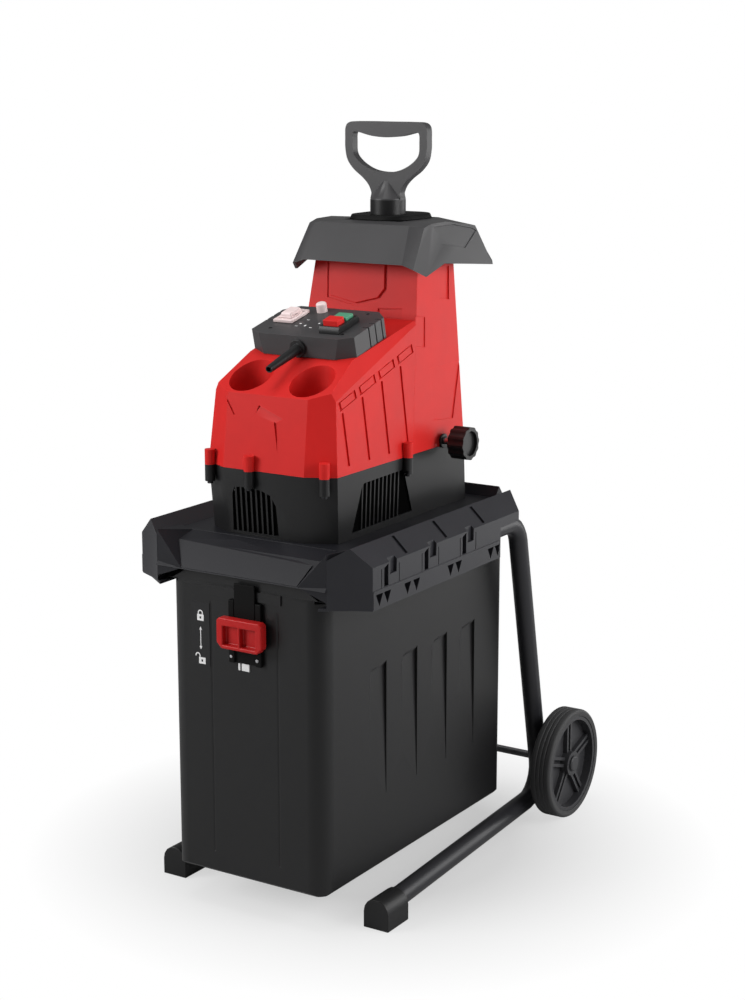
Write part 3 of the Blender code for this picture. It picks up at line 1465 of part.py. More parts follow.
def direction_rocker():
    """Rocker cap with a shallow V top, pivoting across its middle just under the frame's face."""
    half = ROCKER_L / 2
    pivot = ROCKER_FRAME_H / 2
    outline = [
        (ROCKER_V - half + 0.0015, pivot - 0.003),
        (ROCKER_V + half - 0.0015, pivot - 0.003),
        (ROCKER_V + half - 0.0006, ROCKER_H),
        (ROCKER_V, ROCKER_H - 0.0015),
        (ROCKER_V - half + 0.0006, ROCKER_H),
    ]
    return on_panel(prism(outline, "X", ROCKER_X - ROCKER_W / 2, ROCKER_X + ROCKER_W / 2))


def overload_button():
    head = OVERLOAD_D / 2
    outline = [
        (0, -OVERLOAD_ROOT),
        (head, -OVERLOAD_ROOT),
        (head, OVERLOAD_H - OVERLOAD_EDGE),
        (head - OVERLOAD_EDGE, OVERLOAD_H),
        (0, OVERLOAD_H),
    ]
    return on_panel(turned(outline, (OVERLOAD_X, OVERLOAD_V, 0), "Z"))


def sleeve_frames():
    """Frames of the cable sleeve's flange, on the panel's front face, and of its spout."""
    start = Matrix.Translation(panel_point(0, -PANEL_FRONT_LEAN * SLEEVE_LEVEL, -PANEL_T * SLEEVE_LEVEL))
    face = PANEL_FRAME.to_3x3() @ Vector((0, -PANEL_T, PANEL_FRONT_LEAN))
    run = Vector((0, -SLEEVE_REACH, -SLEEVE_DROP))
    return [start @ way.to_track_quat("Z", "Y").to_matrix().to_4x4() for way in (face, run)]


def sleeve_length():
    return math.hypot(SLEEVE_REACH, SLEEVE_DROP)


def sleeve_room():
    """What the sleeve takes up in the motor cover below it."""
    on_face, on_run = sleeve_frames()
    play = FIT * 2
    flange = rod((0, 0, 0), "Z", SLEEVE_FLANGE_D / 2 + play, -0.01, SLEEVE_FLANGE_T + play)
    long = sleeve_length()
    outline = [(0, 0), (SLEEVE_D / 2 + play, 0), (SLEEVE_TIP_D / 2 + play, long), (0, long)]
    return [moved(flange, on_face), moved(turned(outline, (0, 0, 0), "Z", 16), on_run)]


def cable_sleeve():
    """Bend protection sleeve: a flange on the panel's front and a tapered spout."""
    on_face, on_run = sleeve_frames()
    flange = rod((0, 0, 0), "Z", SLEEVE_FLANGE_D / 2, FIT, SLEEVE_FLANGE_T)
    length = sleeve_length()
    bore = SLEEVE_TIP_D * 0.32
    outline = [
        (0, 0.002),
        (SLEEVE_D / 2, 0.002),
        (SLEEVE_TIP_D / 2, length),
        (bore, length),
        (bore, length - 0.015),
        (0, length - 0.015),
    ]
    return join(moved(flange, on_face), moved(turned(outline, (0, 0, 0), "Z", 16), on_run))


def build_controls(paints):
    node("control_panel", control_panel(), paints["grey"])
    node("switch_base", switch_base(), paints["black"])
    off_place = panel_point(SWITCH_X, button_v(-1), SWITCH_H)
    on_place = panel_point(SWITCH_X, button_v(1), SWITCH_H)
    node("off_button", push_button(-1, OFF_EXTRA_H), paints["red"], off_place)
    node("on_button", push_button(1, 0), paints["green"], on_place)
    node("rocker_frame", rocker_frame(), paints["pale"])
    rocker_place = panel_point(ROCKER_X, ROCKER_V, ROCKER_FRAME_H / 2)
    node("direction_rocker", direction_rocker(), paints["pale"], rocker_place)
    node("overload_button", overload_button(), paints["pale"], panel_point(OVERLOAD_X, OVERLOAD_V, 0))
    node("cable_sleeve", cable_sleeve(), paints["black"])


# Plunger


def plunger():
    """D-handle, collar and a crossed paddle that pushes wood down the chute."""
    grip_low = GRIP_TOP_Z - GRIP_SIDE_H
    neck_z = GRIP_TOP_Z - GRIP_H
    outer = [(GRIP_HALF_W, grip_low), (GRIP_HALF_W, GRIP_TOP_Z - GRIP_ROUND)]
    outer += [(GRIP_HALF_W - GRIP_ROUND * 0.3, GRIP_TOP_Z - GRIP_ROUND * 0.3)]
    outer += [(GRIP_HALF_W - GRIP_ROUND, GRIP_TOP_Z)]
    outer += [(-x, z) for x, z in reversed(outer)]
    neck = NECK_D / 2
    fork = neck + GRIP_FORK_W
    tuck = GRIP_HALF_W - GRIP_TUCK_X
    outer += [(-tuck, grip_low - GRIP_TUCK_Z), (-fork, neck_z + GRIP_FORK_H), (-neck, neck_z)]
    outer += [(neck, neck_z), (fork, neck_z + GRIP_FORK_H), (tuck, grip_low - GRIP_TUCK_Z)]
    low = PLUNGER_Y - GRIP_T / 2
    high = PLUNGER_Y + GRIP_T / 2
    grip = prism(outer, "Y", low, high)
    in_w = GRIP_HALF_W - GRIP_SIDE
    in_top = GRIP_TOP_Z - GRIP_BAR
    in_low = grip_low + GRIP_IN_RISE
    inner = [(in_w, in_low), (in_w, in_top), (0, in_top - GRIP_SAG), (-in_w, in_top), (-in_w, in_low)]
    inner += [(-in_w * 0.6, grip_low - GRIP_BOWL_SIDE), (0, grip_low - GRIP_BOWL)]
    inner += [(in_w * 0.6, grip_low - GRIP_BOWL_SIDE)]
    grip = cut(grip, prism(inner, "Y", low - GRIP_T, high + GRIP_T))
    centre = (0, PLUNGER_Y, 0)
    collar = turned(
        [
            (0, NECK_LOW_Z),
            (neck, NECK_LOW_Z),
            (neck, neck_z),
            (NECK_TIP_D / 2, neck_z + NECK_TIP_H),
            (0, neck_z + NECK_TIP_H),
        ],
        centre,
        "Z",
    )
    half_t = PADDLE_T / 2
    wide = CHUTE_HALF_W - PADDLE_PLAY
    root = NECK_LOW_Z + PADDLE_ROOT
    flat = block((-wide, PLUNGER_Y - half_t, PADDLE_LOW_Z), (wide, PLUNGER_Y + half_t, root))
    cross = block(
        (-half_t, PLUNGER_Y - PADDLE_HALF_Y, PADDLE_LOW_Z), (half_t, PLUNGER_Y + PADDLE_HALF_Y, root)
    )
    return join(collar, grip, flat, cross)


# Cutting roller, counter plate and knob


def cutter_frame():
    """Cast frame round the roller: four walls, open above and below, with bearing seats."""
    low = FLOOR_TOP_Z + FIT
    outer = block(
        (CHAMBER_LEFT_X - FRAME_WALL_X, CHAMBER_FRONT_Y - FRAME_WALL_Y, low),
        (CHAMBER_RIGHT_X + FRAME_WALL_X, CHAMBER_REAR_Y + FRAME_WALL_Y, FRAME_TOP_Z),
    )
    inner = block(
        (CHAMBER_LEFT_X, CHAMBER_FRONT_Y, low - 0.01), (CHAMBER_RIGHT_X, CHAMBER_REAR_Y, FRAME_TOP_Z + 0.01)
    )
    seats = rod(
        (ROLLER_X, 0, ROLLER_Z), "Y", BEARING_D / 2 + FIT, CHAMBER_FRONT_Y - 0.02, CHAMBER_REAR_Y + 0.02, 24
    )
    spindle = (0, SPINDLE_Y, SPINDLE_Z)
    hole_r = SPINDLE_D / 2 + SHAFT_PLAY
    spindle_hole = rod(spindle, "X", hole_r, CHAMBER_RIGHT_X - 0.01, CHAMBER_RIGHT_X + 0.02)
    idler_x, idler_z = idler_axis()
    idler_hole = rod(
        (idler_x, 0, idler_z),
        "Y",
        IDLER_SHAFT_D / 2 + SHAFT_PLAY,
        CHAMBER_FRONT_Y - FRAME_WALL_Y - 0.01,
        CHAMBER_FRONT_Y - FRAME_WALL_Y * 0.3,
    )
    return cut(outer, inner, seats, spindle_hole, idler_hole)


def roller_teeth_outline():
    points = []
    outer = ROLLER_D / 2
    inner = outer - ROLLER_TOOTH_H
    for tooth in range(ROLLER_TEETH):
        start = tooth * math.tau / ROLLER_TEETH
        pitch = math.tau / ROLLER_TEETH
        for part, radius in ((0.0, outer), (0.28, outer), (0.42, inner), (0.95, inner)):
            angle = start + part * pitch
            points.append((ROLLER_X + radius * math.cos(angle), ROLLER_Z + radius * math.sin(angle)))
    return points


def cutting_roller():
    shape = prism(roller_teeth_outline(), "Y", CHAMBER_FRONT_Y + 0.0015, CHAMBER_REAR_Y - 0.0015)
    bore = rod(
        (ROLLER_X, 0, ROLLER_Z), "Y", ROLLER_SHAFT_D / 2 + FIT, CHAMBER_FRONT_Y - 0.02, CHAMBER_REAR_Y + 0.02
    )
    return cut(shape, bore)


def gear_start(stage):
    """Front face of a gear stage, counted from the gear plate's rear face."""
    first = GEAR_PLATE_Y + GEAR_SPACE
    return first + (stage - 1) * (GEAR_FACE + GEAR_SPACE)


def roller_shaft():
    front = gear_start(2) - SHAFT_OVER
    rear = CHAMBER_REAR_Y + FRAME_WALL_Y - SHAFT_SHORT
    return rod((ROLLER_X, 0, ROLLER_Z), "Y", ROLLER_SHAFT_D / 2, front, rear)


def bearing(front_y):
    bore = ROLLER_SHAFT_D / 2 + SHAFT_PLAY
    return pipe((ROLLER_X, 0, ROLLER_Z), "Y", bore, BEARING_D / 2, front_y, front_y + BEARING_L)


def plate_face_x():
    return ROLLER_X + ROLLER_D / 2 + PLATE_GAP


def counter_plate():
    """Pressure plate that the spindle sets against the roller."""
    low = SPINDLE_Z - PLATE_H / 2
    face = plate_face_x()
    back = face + PLATE_T
    front = CHAMBER_FRONT_Y + PLATE_PLAY
    shape = block((face, front, low), (back, CHAMBER_REAR_Y - PLATE_PLAY, low + PLATE_H))
    hole_r = SPINDLE_D / 2 + SHAFT_PLAY
    hole = rod((0, SPINDLE_Y, SPINDLE_Z), "X", hole_r, face + PLATE_SKIN, back + PLATE_T)
    return cut(shape, hole)


def adjust_spindle():
    tip = plate_face_x() + PLATE_T - SPINDLE_GRIP
    return rod((0, SPINDLE_Y, SPINDLE_Z), "X", SPINDLE_D / 2, tip, KNOB_BACK_X + KNOB_L / 2)


def spindle_bush():
    """Flanged bush in the tower's wall that the spindle turns in."""
    wall = side_x(SPINDLE_Z - BUSH_FLANGE_D / 2) + FIT
    bore = SPINDLE_D / 2 + SHAFT_PLAY
    outline = [
        (bore, wall + BUSH_FLANGE_T - BUSH_L),
        (BUSH_D / 2, wall + BUSH_FLANGE_T - BUSH_L),
        (BUSH_D / 2, wall),
        (BUSH_FLANGE_D / 2, wall),
        (BUSH_FLANGE_D / 2, wall + BUSH_FLANGE_T),
        (bore, wall + BUSH_FLANGE_T),
    ]
    return turned(outline, (0, SPINDLE_Y, SPINDLE_Z), "X", 20)


def adjust_knob():
    """Round ribbed knob with a dished face."""
    outline = []
    steps = KNOB_RIBS * 4
    for step in range(steps):
        angle = step * math.tau / steps
        radius = KNOB_D / 2 - (KNOB_RIB_DEPTH if step % 4 in (2, 3) else 0)
        outline.append((SPINDLE_Y + radius * math.cos(angle), SPINDLE_Z + radius * math.sin(angle)))
    shape = prism(outline, "X", KNOB_BACK_X, KNOB_FACE_X)
    centre = (0, SPINDLE_Y, SPINDLE_Z)
    dish = rod(centre, "X", KNOB_D / 2 - 0.006, KNOB_FACE_X - 0.005, KNOB_FACE_X + 0.01)
    socket = rod(centre, "X", SPINDLE_D / 2 + FIT, KNOB_BACK_X - 0.01, KNOB_BACK_X + KNOB_L / 2 + FIT)
    return cut(shape, dish, socket)


def build_cutter(paints):
    on_roller = (ROLLER_X, 0, ROLLER_Z)
    on_spindle = (0, SPINDLE_Y, SPINDLE_Z)
    node("cutter_frame", cutter_frame(), paints["cast"])
    node("cutting_roller", cutting_roller(), paints["steel"], on_roller)
    node("roller_shaft", roller_shaft(), paints["steel"], on_roller)
    node("bearing_front", bearing(CHAMBER_FRONT_Y - FRAME_WALL_Y + 0.0005), paints["steel"])
    node("bearing_rear", bearing(CHAMBER_REAR_Y + FRAME_WALL_Y - BEARING_L - 0.0005), paints["steel"])
    node("counter_plate", counter_plate(), paints["cast"])
    node("adjust_spindle", adjust_spindle(), paints["steel"], on_spindle)
    node("spindle_bush", spindle_bush(), paints["black"])
    node("adjust_knob", adjust_knob(), paints["black"], on_spindle)


# Motor and gears


def idler_axis():
    """X and Z of the idler shaft, where the two centre distances from motor and roller meet."""
    teeth = (PINION_TEETH + GEAR_TEETH) / 2
    first = FIRST_MODULE * teeth
    second = SECOND_MODULE * teeth
    motor = Vector((0, MOTOR_Z))
    roller = Vector((ROLLER_X, ROLLER_Z))
    line = roller - motor
    along = (first * first - second * second + line.length_squared) / (2 * line.length)
    aside = math.sqrt(first * first - along * along)
    unit = line.normalized()
    place = motor + unit * along + Vector((unit.y, -unit.x)) * aside
    return place.x, place.y


def gear_outline(teeth, module, centre, turn):
    """Straight-flanked teeth, a little thin so that a pair runs with backlash."""
    points = []
    pitch = math.tau / teeth
    tip = module * (teeth / 2 + 0.85)
    root = module * (teeth / 2 - 1.1)
    tip_share = 0.085
    root_share = 0.23
    for tooth in range(teeth):
        middle = turn + tooth * pitch
        for radius, share in ((root, -root_share), (tip, -tip_share), (tip, tip_share), (root, root_share)):
            angle = middle + share * pitch
            points.append((centre[0] + radius * math.cos(angle), centre[1] + radius * math.sin(angle)))
    return points


def mesh_turn(from_centre, to_centre, driver_teeth, driver_turn, teeth):
    """The turn that puts a gear's gap on the driver's tooth along the line of centres."""
    line = math.atan2(to_centre[1] - from_centre[1], to_centre[0] - from_centre[0])
    phase = ((line - driver_turn) / (math.tau / driver_teeth)) % 1.0
    pitch = math.tau / teeth
    return line + math.pi + (0.5 + phase) * pitch


def gear_places():
    motor = (0.0, MOTOR_Z)
    roller = (ROLLER_X, ROLLER_Z)
    return motor, idler_axis(), roller


def motor_pinion():
    motor, _, _ = gear_places()
    start = gear_start(1)
    shape = prism(gear_outline(PINION_TEETH, FIRST_MODULE, motor, 0.0), "Y", start, start + GEAR_FACE)
    bore = rod((0, 0, MOTOR_Z), "Y", MOTOR_SHAFT_D / 2 + FIT, start - 0.01, start + GEAR_FACE + 0.01, 20)
    return cut(shape, bore)


def idler_gear():
    """Compound gear and its shaft in one piece."""
    motor, idler, _ = gear_places()
    turn = mesh_turn(motor, idler, PINION_TEETH, 0.0, GEAR_TEETH)
    first = gear_start(1)
    second = gear_start(2)
    large = prism(gear_outline(GEAR_TEETH, FIRST_MODULE, idler, turn), "Y", first, first + GEAR_FACE)
    small = prism(
        gear_outline(PINION_TEETH, SECOND_MODULE, idler, 0.0), "Y", first + GEAR_FACE / 2, second + GEAR_FACE
    )
    centre = (idler[0], 0, idler[1])
    front = GEAR_PLATE_Y - GEAR_PLATE_T + 0.0005
    shaft = rod(centre, "Y", IDLER_SHAFT_D / 2, front, CHAMBER_FRONT_Y - FRAME_WALL_Y * 0.4, 20)
    return join(large, small, shaft)


def drive_gear():
    _, idler, roller = gear_places()
    turn = mesh_turn(idler, roller, PINION_TEETH, 0.0, GEAR_TEETH)
    start = gear_start(2)
    shape = prism(gear_outline(GEAR_TEETH, SECOND_MODULE, roller, turn), "Y", start, start + GEAR_FACE)
    centre = (ROLLER_X, 0, ROLLER_Z)
    bore = rod(centre, "Y", ROLLER_SHAFT_D / 2 + FIT, start - 0.01, start + GEAR_FACE + 0.01, 20)
    return cut(shape, bore)


def gear_plate():
    """Upright bracket that carries the motor, the idler and the capacitor."""
    low = FLOOR_TOP_Z + FIT
    rear = GEAR_PLATE_Y
    front = rear - GEAR_PLATE_T
    half = GEAR_PLATE_HALF_W
    outline = [
        (-half, low),
        (half, low),
        (half, low + GEAR_PLATE_H * 0.6),
        (half - 0.012, low + GEAR_PLATE_H),
        (0.012, low + GEAR_PLATE_H),
        (-half + 0.02, low + GEAR_PLATE_H * 0.6),
        (-half, low + GEAR_PLATE_H * 0.5),
    ]
    shape = prism(outline, "Y", front, rear)
    motor, idler, _ = gear_places()
    holes = [
        rod((0, 0, MOTOR_Z), "Y", MOTOR_SHAFT_D / 2 + SHAFT_PLAY, front - 0.01, rear + 0.01),
        rod((idler[0], 0, idler[1]), "Y", IDLER_SHAFT_D / 2 + SHAFT_PLAY, front - 0.01, rear + 0.01),
    ]
    return cut(shape, *holes)


def motor_rear_y():
    return GEAR_PLATE_Y - GEAR_PLATE_T - FIT


def motor_can():
    """Motor barrel: closed in front round the shaft, open behind against the gear plate."""
    rear = motor_rear_y()
    front = rear - MOTOR_L
    radius = MOTOR_D / 2
    shaft = MOTOR_SHAFT_D / 2 + SHAFT_PLAY
    outline = [
        (shaft, front),
        (radius - 0.006, front),
        (radius, front + 0.006),
        (radius, rear),
        (radius - MOTOR_WALL, rear),
        (radius - MOTOR_WALL, front + MOTOR_WALL),
        (shaft, front + MOTOR_WALL),
    ]
    return turned(outline, (0, 0, MOTOR_Z), "Y", 32)


def motor_rotor():
    """Laminated core on the motor shaft."""
    rear = motor_rear_y()
    front = rear - MOTOR_L
    shaft = MOTOR_SHAFT_D / 2
    core = ROTOR_D / 2
    outline = [
        (0, front - FAN_L - 0.004),
        (shaft, front - FAN_L - 0.004),
        (shaft, front + 0.030),
        (core, front + 0.030),
        (core, rear - 0.030),
        (shaft, rear - 0.030),
        (shaft, gear_start(1) + GEAR_FACE + 0.0005),
        (0, gear_start(1) + GEAR_FACE + 0.0005),
    ]
    return turned(outline, (0, 0, MOTOR_Z), "Y")


def cooling_fan():
    rear = motor_rear_y() - MOTOR_L - FAN_GAP
    front = rear - FAN_L
    centre = (0, 0, MOTOR_Z)
    hub = rod(centre, "Y", FAN_HUB_D / 2, front, rear, 20)
    disc = rod(centre, "Y", FAN_D / 2, rear - FAN_DISC_T, rear, 28)
    inner = FAN_HUB_D / 2 - FAN_FIN_T
    outer = FAN_D / 2 - FAN_DISC_T
    blades = []
    for blade in range(FAN_BLADES):
        turn = Matrix.Rotation(blade * math.tau / FAN_BLADES, 4, "Y")
        fin = block((inner, front, -FAN_FIN_T / 2), (outer, rear - FAN_DISC_T / 3, FAN_FIN_T / 2))
        blades.append(moved(fin, Matrix.Translation(centre) @ turn))
    shape = join(hub, disc, *blades)
    bore = rod(centre, "Y", MOTOR_SHAFT_D / 2 + FIT, front - 0.01, rear + 0.01, 20)
    return cut(shape, bore)


def capacitor():
    rear = motor_rear_y()
    centre = (CAPACITOR_X, 0, DECK_Z + CAPACITOR_RISE)
    radius = CAPACITOR_D / 2
    outline = [
        (0, rear - CAPACITOR_L),
        (radius - 0.003, rear - CAPACITOR_L),
        (radius, rear - CAPACITOR_L + 0.003),
        (radius, rear),
        (0, rear),
    ]
    return turned(outline, centre, "Y", 20)


def build_drive(paints):
    on_motor = (0, 0, MOTOR_Z)
    idler_x, idler_z = idler_axis()
    node("gear_plate", gear_plate(), paints["steel"])
    node("motor_can", motor_can(), paints["cast"])
    node("motor_rotor", motor_rotor(), paints["steel"], on_motor)
    node("cooling_fan", cooling_fan(), paints["black"], on_motor)
    node("motor_pinion", motor_pinion(), paints["steel"], on_motor)
    node("idler_gear", idler_gear(), paints["steel"], (idler_x, 0, idler_z))
    node("drive_gear", drive_gear(), paints["steel"], (ROLLER_X, 0, ROLLER_Z))
    node("capacitor", capacitor(), paints["cast"])


clear_scene()
PAINTS = {
    "red": finish("red_plastic", (0.55, 0.020, 0.022), 0.42),
    "grey": finish("dark_grey_plastic", (0.060, 0.060, 0.064), 0.50),
    "deck": finish("deck_plastic", (0.034, 0.035, 0.040), 0.50),
    "black": finish("black_plastic", (0.018, 0.018, 0.019), 0.50),
    "pale": finish("pale_plastic", (0.72, 0.60, 0.58), 0.40),
    "green": finish("green_plastic", (0.10, 0.38, 0.22), 0.40),
    "tube": finish("tube_paint", (0.040, 0.041, 0.044), 0.40, 0.2),
    "rubber": finish("tyre_rubber", (0.020, 0.020, 0.021), 0.75),
    "steel": finish("steel", (0.55, 0.55, 0.56), 0.35, 1.0),
    "screw": finish("black_steel", (0.045, 0.045, 0.047), 0.40, 1.0),
    "cast": finish("cast_aluminium", (0.62, 0.62, 0.63), 0.50, 1.0),
}
build_stand(PAINTS)
build_deck(PAINTS)
build_bin(PAINTS)
build_housing(PAINTS)
build_controls(PAINTS)
node("plunger", plunger(), PAINTS["grey"])
build_cutter(PAINTS)
build_drive(PAINTS)
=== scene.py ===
"""Looks of the electric garden shredder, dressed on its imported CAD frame.

Metres, +Z up, front at -Y.
"""

import itertools
import json
import math

import bmesh
import bpy
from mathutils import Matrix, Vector


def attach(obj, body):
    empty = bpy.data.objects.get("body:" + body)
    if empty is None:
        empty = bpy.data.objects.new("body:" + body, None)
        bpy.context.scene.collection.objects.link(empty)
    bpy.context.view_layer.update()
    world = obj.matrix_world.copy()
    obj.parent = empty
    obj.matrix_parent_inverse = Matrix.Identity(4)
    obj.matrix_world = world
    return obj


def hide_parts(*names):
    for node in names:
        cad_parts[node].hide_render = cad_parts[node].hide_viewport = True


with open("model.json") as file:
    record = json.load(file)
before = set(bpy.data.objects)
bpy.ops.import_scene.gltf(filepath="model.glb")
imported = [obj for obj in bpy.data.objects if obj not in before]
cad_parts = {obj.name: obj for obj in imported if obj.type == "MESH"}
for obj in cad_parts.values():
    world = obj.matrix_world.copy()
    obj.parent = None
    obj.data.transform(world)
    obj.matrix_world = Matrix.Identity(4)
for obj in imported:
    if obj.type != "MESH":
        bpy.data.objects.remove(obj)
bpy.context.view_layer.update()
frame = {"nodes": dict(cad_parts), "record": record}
scene = bpy.context.scene
scene.view_settings.view_transform = "Standard"

# Studio: the photograph's camera, a pale floor that whitens away from the machine, a white room seen
# only by the camera, and four large soft lamps that leave the corner facing the camera dimmer.
CAMERA_PLACE = Vector((1.59543, -2.51578, 1.21646))
CAMERA_TURN = math.radians(32.389)
CAMERA_TILT = math.radians(12.452)
SENSOR_WIDTH = 36
PHOTO_HEIGHT = 1000
FOCAL_PIXELS = 1982.12
ROOM_LIGHT = 0.24
FLOOR_GREY = (0.50, 0.50, 0.50, 1)
FLOOR_ROUGHNESS = 0.9
FLOOR_HALF_W = 12
FLOOR_Z = -0.0005
FLOOR_NEAR = 0.22
FLOOR_FAR = 0.55
FLOOR_LEAST = 0.50
LAMP_AIM = Vector((0, 0, 0.6))
LAMPS = (
    ("lamp_right", (2.9, 0.4, 1.6), 1.8, 70),
    ("lamp_front", (-2.1, -2.6, 1.9), 1.6, 86),
    ("lamp_back", (1.9, 2.9, 0.9), 1.8, 30),
    ("lamp_top", (-0.3, -0.5, 3.4), 1.6, 34),
)

camera = bpy.data.objects.new("camera", bpy.data.cameras.new("camera"))
camera.data.sensor_width = SENSOR_WIDTH
camera.data.lens = FOCAL_PIXELS * SENSOR_WIDTH / PHOTO_HEIGHT
camera.location = CAMERA_PLACE
camera.rotation_euler = (math.pi / 2 - CAMERA_TILT, 0, CAMERA_TURN)
scene.collection.objects.link(camera)
scene.camera = camera


class Shade:
    """A value on its way through a material: sums and products of it add the nodes they need."""

    def __init__(self, tree, socket=None):
        self.tree = tree
        self.socket = socket

    def node(self, kind, settings=None, out=0, **sockets):
        """Add any node; sockets are named with underscores for spaces, or in_0, in_1 by number."""
        made = self.tree.nodes.new(kind)
        for name, value in (settings or {}).items():
            setattr(made, name, value)
        for name, value in sockets.items():
            key = int(name[3:]) if name.startswith("in_") else name.replace("_", " ")
            if isinstance(value, Shade):
                self.tree.links.new(value.socket, made.inputs[key])
            else:
                made.inputs[key].default_value = value
        return Shade(self.tree, made.outputs[out])

    def into(self, shader, socket):
        self.tree.links.new(self.socket, shader.inputs[socket])

    def worked(self, operation, first, second):
        return self.node("ShaderNodeMath", {"operation": operation}, in_0=first, in_1=second)

    def spread(self):
        """Noise, which keeps near its middle, drawn out over 0 to 1."""
        return self * 3 - 1

    def blend(self, first, second):
        """A colour between two others, by this value held between 0 and 1."""
        settings = {"data_type": "RGBA", "clamp_factor": True}
        return self.node("ShaderNodeMix", settings, out=2, in_0=self, in_6=first, in_7=second)

    def __add__(self, other):
        return self.worked("ADD", self, other)

    def __sub__(self, other):
        return self.worked("SUBTRACT", self, other)

    def __rsub__(self, other):
        return self.worked("SUBTRACT", other, self)

    def __mul__(self, other):
        return self.worked("MULTIPLY", self, other)


def blank_material(name):
    """A material with only its Principled shader, and a Shade to build on."""
    made = bpy.data.materials.new(name)
    made.use_nodes = True
    return made, made.node_tree.nodes["Principled BSDF"], Shade(made.node_tree)


def added(name, shape, paint):
    """An object of a finished bmesh, which is used up, in one material."""
    made = bpy.data.objects.new(name, bpy.data.meshes.new(name))
    shape.to_mesh(made.data)
    shape.free()
    made.data.materials.append(paint)
    scene.collection.objects.link(made)
    return made


floor_paint, floor_shader, shade = blank_material("studio_floor")
floor_shader.inputs["Base Color"].default_value = FLOOR_GREY
floor_shader.inputs["Roughness"].default_value = FLOOR_ROUGHNESS
place = shade.node("ShaderNodeTexCoord", out="Object")
reach = shade.node("ShaderNodeVectorMath", {"operation": "LENGTH"}, out="Value", in_0=place)
whiter = shade.node(
    "ShaderNodeMapRange", Value=reach, From_Min=FLOOR_NEAR, From_Max=FLOOR_FAR, To_Min=FLOOR_LEAST
)
by_camera = shade.node("ShaderNodeLightPath", out="Is Camera Ray")
glow = shade.node("ShaderNodeEmission", Strength=1.0)
plain = Shade(floor_paint.node_tree, floor_shader.outputs[0])
mixed = shade.node("ShaderNodeMixShader", in_0=whiter * by_camera, in_1=plain, in_2=glow)
mixed.into(floor_paint.node_tree.nodes["Material Output"], "Surface")
floor_shape = bmesh.new()
bmesh.ops.create_grid(floor_shape, x_segments=1, y_segments=1, size=FLOOR_HALF_W)
bmesh.ops.translate(floor_shape, verts=floor_shape.verts[:], vec=(0, 0, FLOOR_Z))
added("studio_floor", floor_shape, floor_paint)

scene.world = bpy.data.worlds.new("studio_room")
scene.world.use_nodes = True
room = scene.world.node_tree
shade = Shade(room)
dim = shade.node("ShaderNodeBackground", Strength=ROOM_LIGHT)
white = shade.node("ShaderNodeBackground", Color=(1, 1, 1, 1), Strength=1.0)
by_camera = shade.node("ShaderNodeLightPath", out="Is Camera Ray")
mixed = shade.node("ShaderNodeMixShader", in_0=by_camera, in_1=dim, in_2=white)
mixed.into(room.nodes["World Output"], "Surface")

for lamp_name, place, size, power in LAMPS:
    lamp = bpy.data.objects.new(lamp_name, bpy.data.lights.new(lamp_name, "AREA"))
    lamp.data.size = size
    lamp.data.energy = power
    lamp.location = place
    lamp.rotation_euler = (LAMP_AIM - Vector(place)).to_track_quat("-Z", "Y").to_euler()
    scene.collection.objects.link(lamp)


# Plain pieces: tubes, feet, knob, buttons, screws and drive keep their CAD shapes. Plastics are moulded
# with a fine spark-eroded grain that handling polishes and pales at the edges; the stand's tubes are
# powder coated, and shafts and fastenings are bare metal.
PATCH_SCALE = 9.0
SPECK_SCALE = 900.0
MOTTLE = 0.06
RUB_GAIN = 1.6
RUB_LIFT = 0.012
RUB_REACH = 0.0014
RUB_STRENGTH = 6
PATCH_DULLING = 0.12
SPECK_DULLING = 0.06
GRAIN_DEPTH = 0.0004
METAL_MARK_SCALE = 160.0
METAL_MARK_SHADE = 0.75
METAL_DULLING = 0.2
CAD_EDGE = 0.0012
CAD_WELD = 0.00002
CAD_FLAT_ANGLE = math.radians(1)


def moulded_plastic(name, colour, roughness, grain=0.10, wear=0.5, shine=0.35):
    """A grained plastic, rubber or coat: a little uneven, and rubbed paler along its edges."""
    made, shader, shade = blank_material(name)
    shader.inputs["Specular IOR Level"].default_value = shine
    place = shade.node("ShaderNodeTexCoord", out="Object")
    noise = "ShaderNodeTexNoise"
    patches = shade.node(noise, Vector=place, Scale=PATCH_SCALE, Detail=4.0, Roughness=0.6)
    specks = shade.node(noise, Vector=place, Scale=SPECK_SCALE, Detail=2.0, Roughness=0.6)
    dark = (*(c * (1 - MOTTLE) for c in colour), 1)
    light = (*(min(1, c * (1 + MOTTLE)) for c in colour), 1)
    rubbed = (*(min(1, c * RUB_GAIN + RUB_LIFT) for c in colour), 1)
    soft = shade.node("ShaderNodeBevel", {"samples": 4}, Radius=RUB_REACH)
    sharp = shade.node("ShaderNodeNewGeometry", out="Normal")
    dot = {"operation": "DOT_PRODUCT"}
    along = shade.node("ShaderNodeVectorMath", dot, out="Value", in_0=soft, in_1=sharp)
    edge = (1 - along) * patches * (RUB_STRENGTH * wear)
    edge.blend(patches.spread().blend(dark, light), rubbed).into(shader, "Base Color")
    smoothest = roughness - (PATCH_DULLING + SPECK_DULLING) / 2
    (patches * PATCH_DULLING + specks * SPECK_DULLING + smoothest).into(shader, "Roughness")
    bump = shade.node("ShaderNodeBump", Strength=grain, Distance=GRAIN_DEPTH, Height=specks)
    bump.into(shader, "Normal")
    return made


def bare_metal(name, colour, roughness):
    """A metal with fine duller marks."""
    made, shader, shade = blank_material(name)
    shader.inputs["Metallic"].default_value = 1.0
    place = shade.node("ShaderNodeTexCoord", out="Object")
    noise = "ShaderNodeTexNoise"
    marks = shade.node(noise, Vector=place, Scale=METAL_MARK_SCALE, Detail=5.0, Roughness=0.7)
    dull = (*(c * METAL_MARK_SHADE for c in colour), 1)
    marks.spread().blend(dull, (*colour, 1)).into(shader, "Base Color")
    (marks * METAL_DULLING + (roughness - METAL_DULLING / 2)).into(shader, "Roughness")
    return made


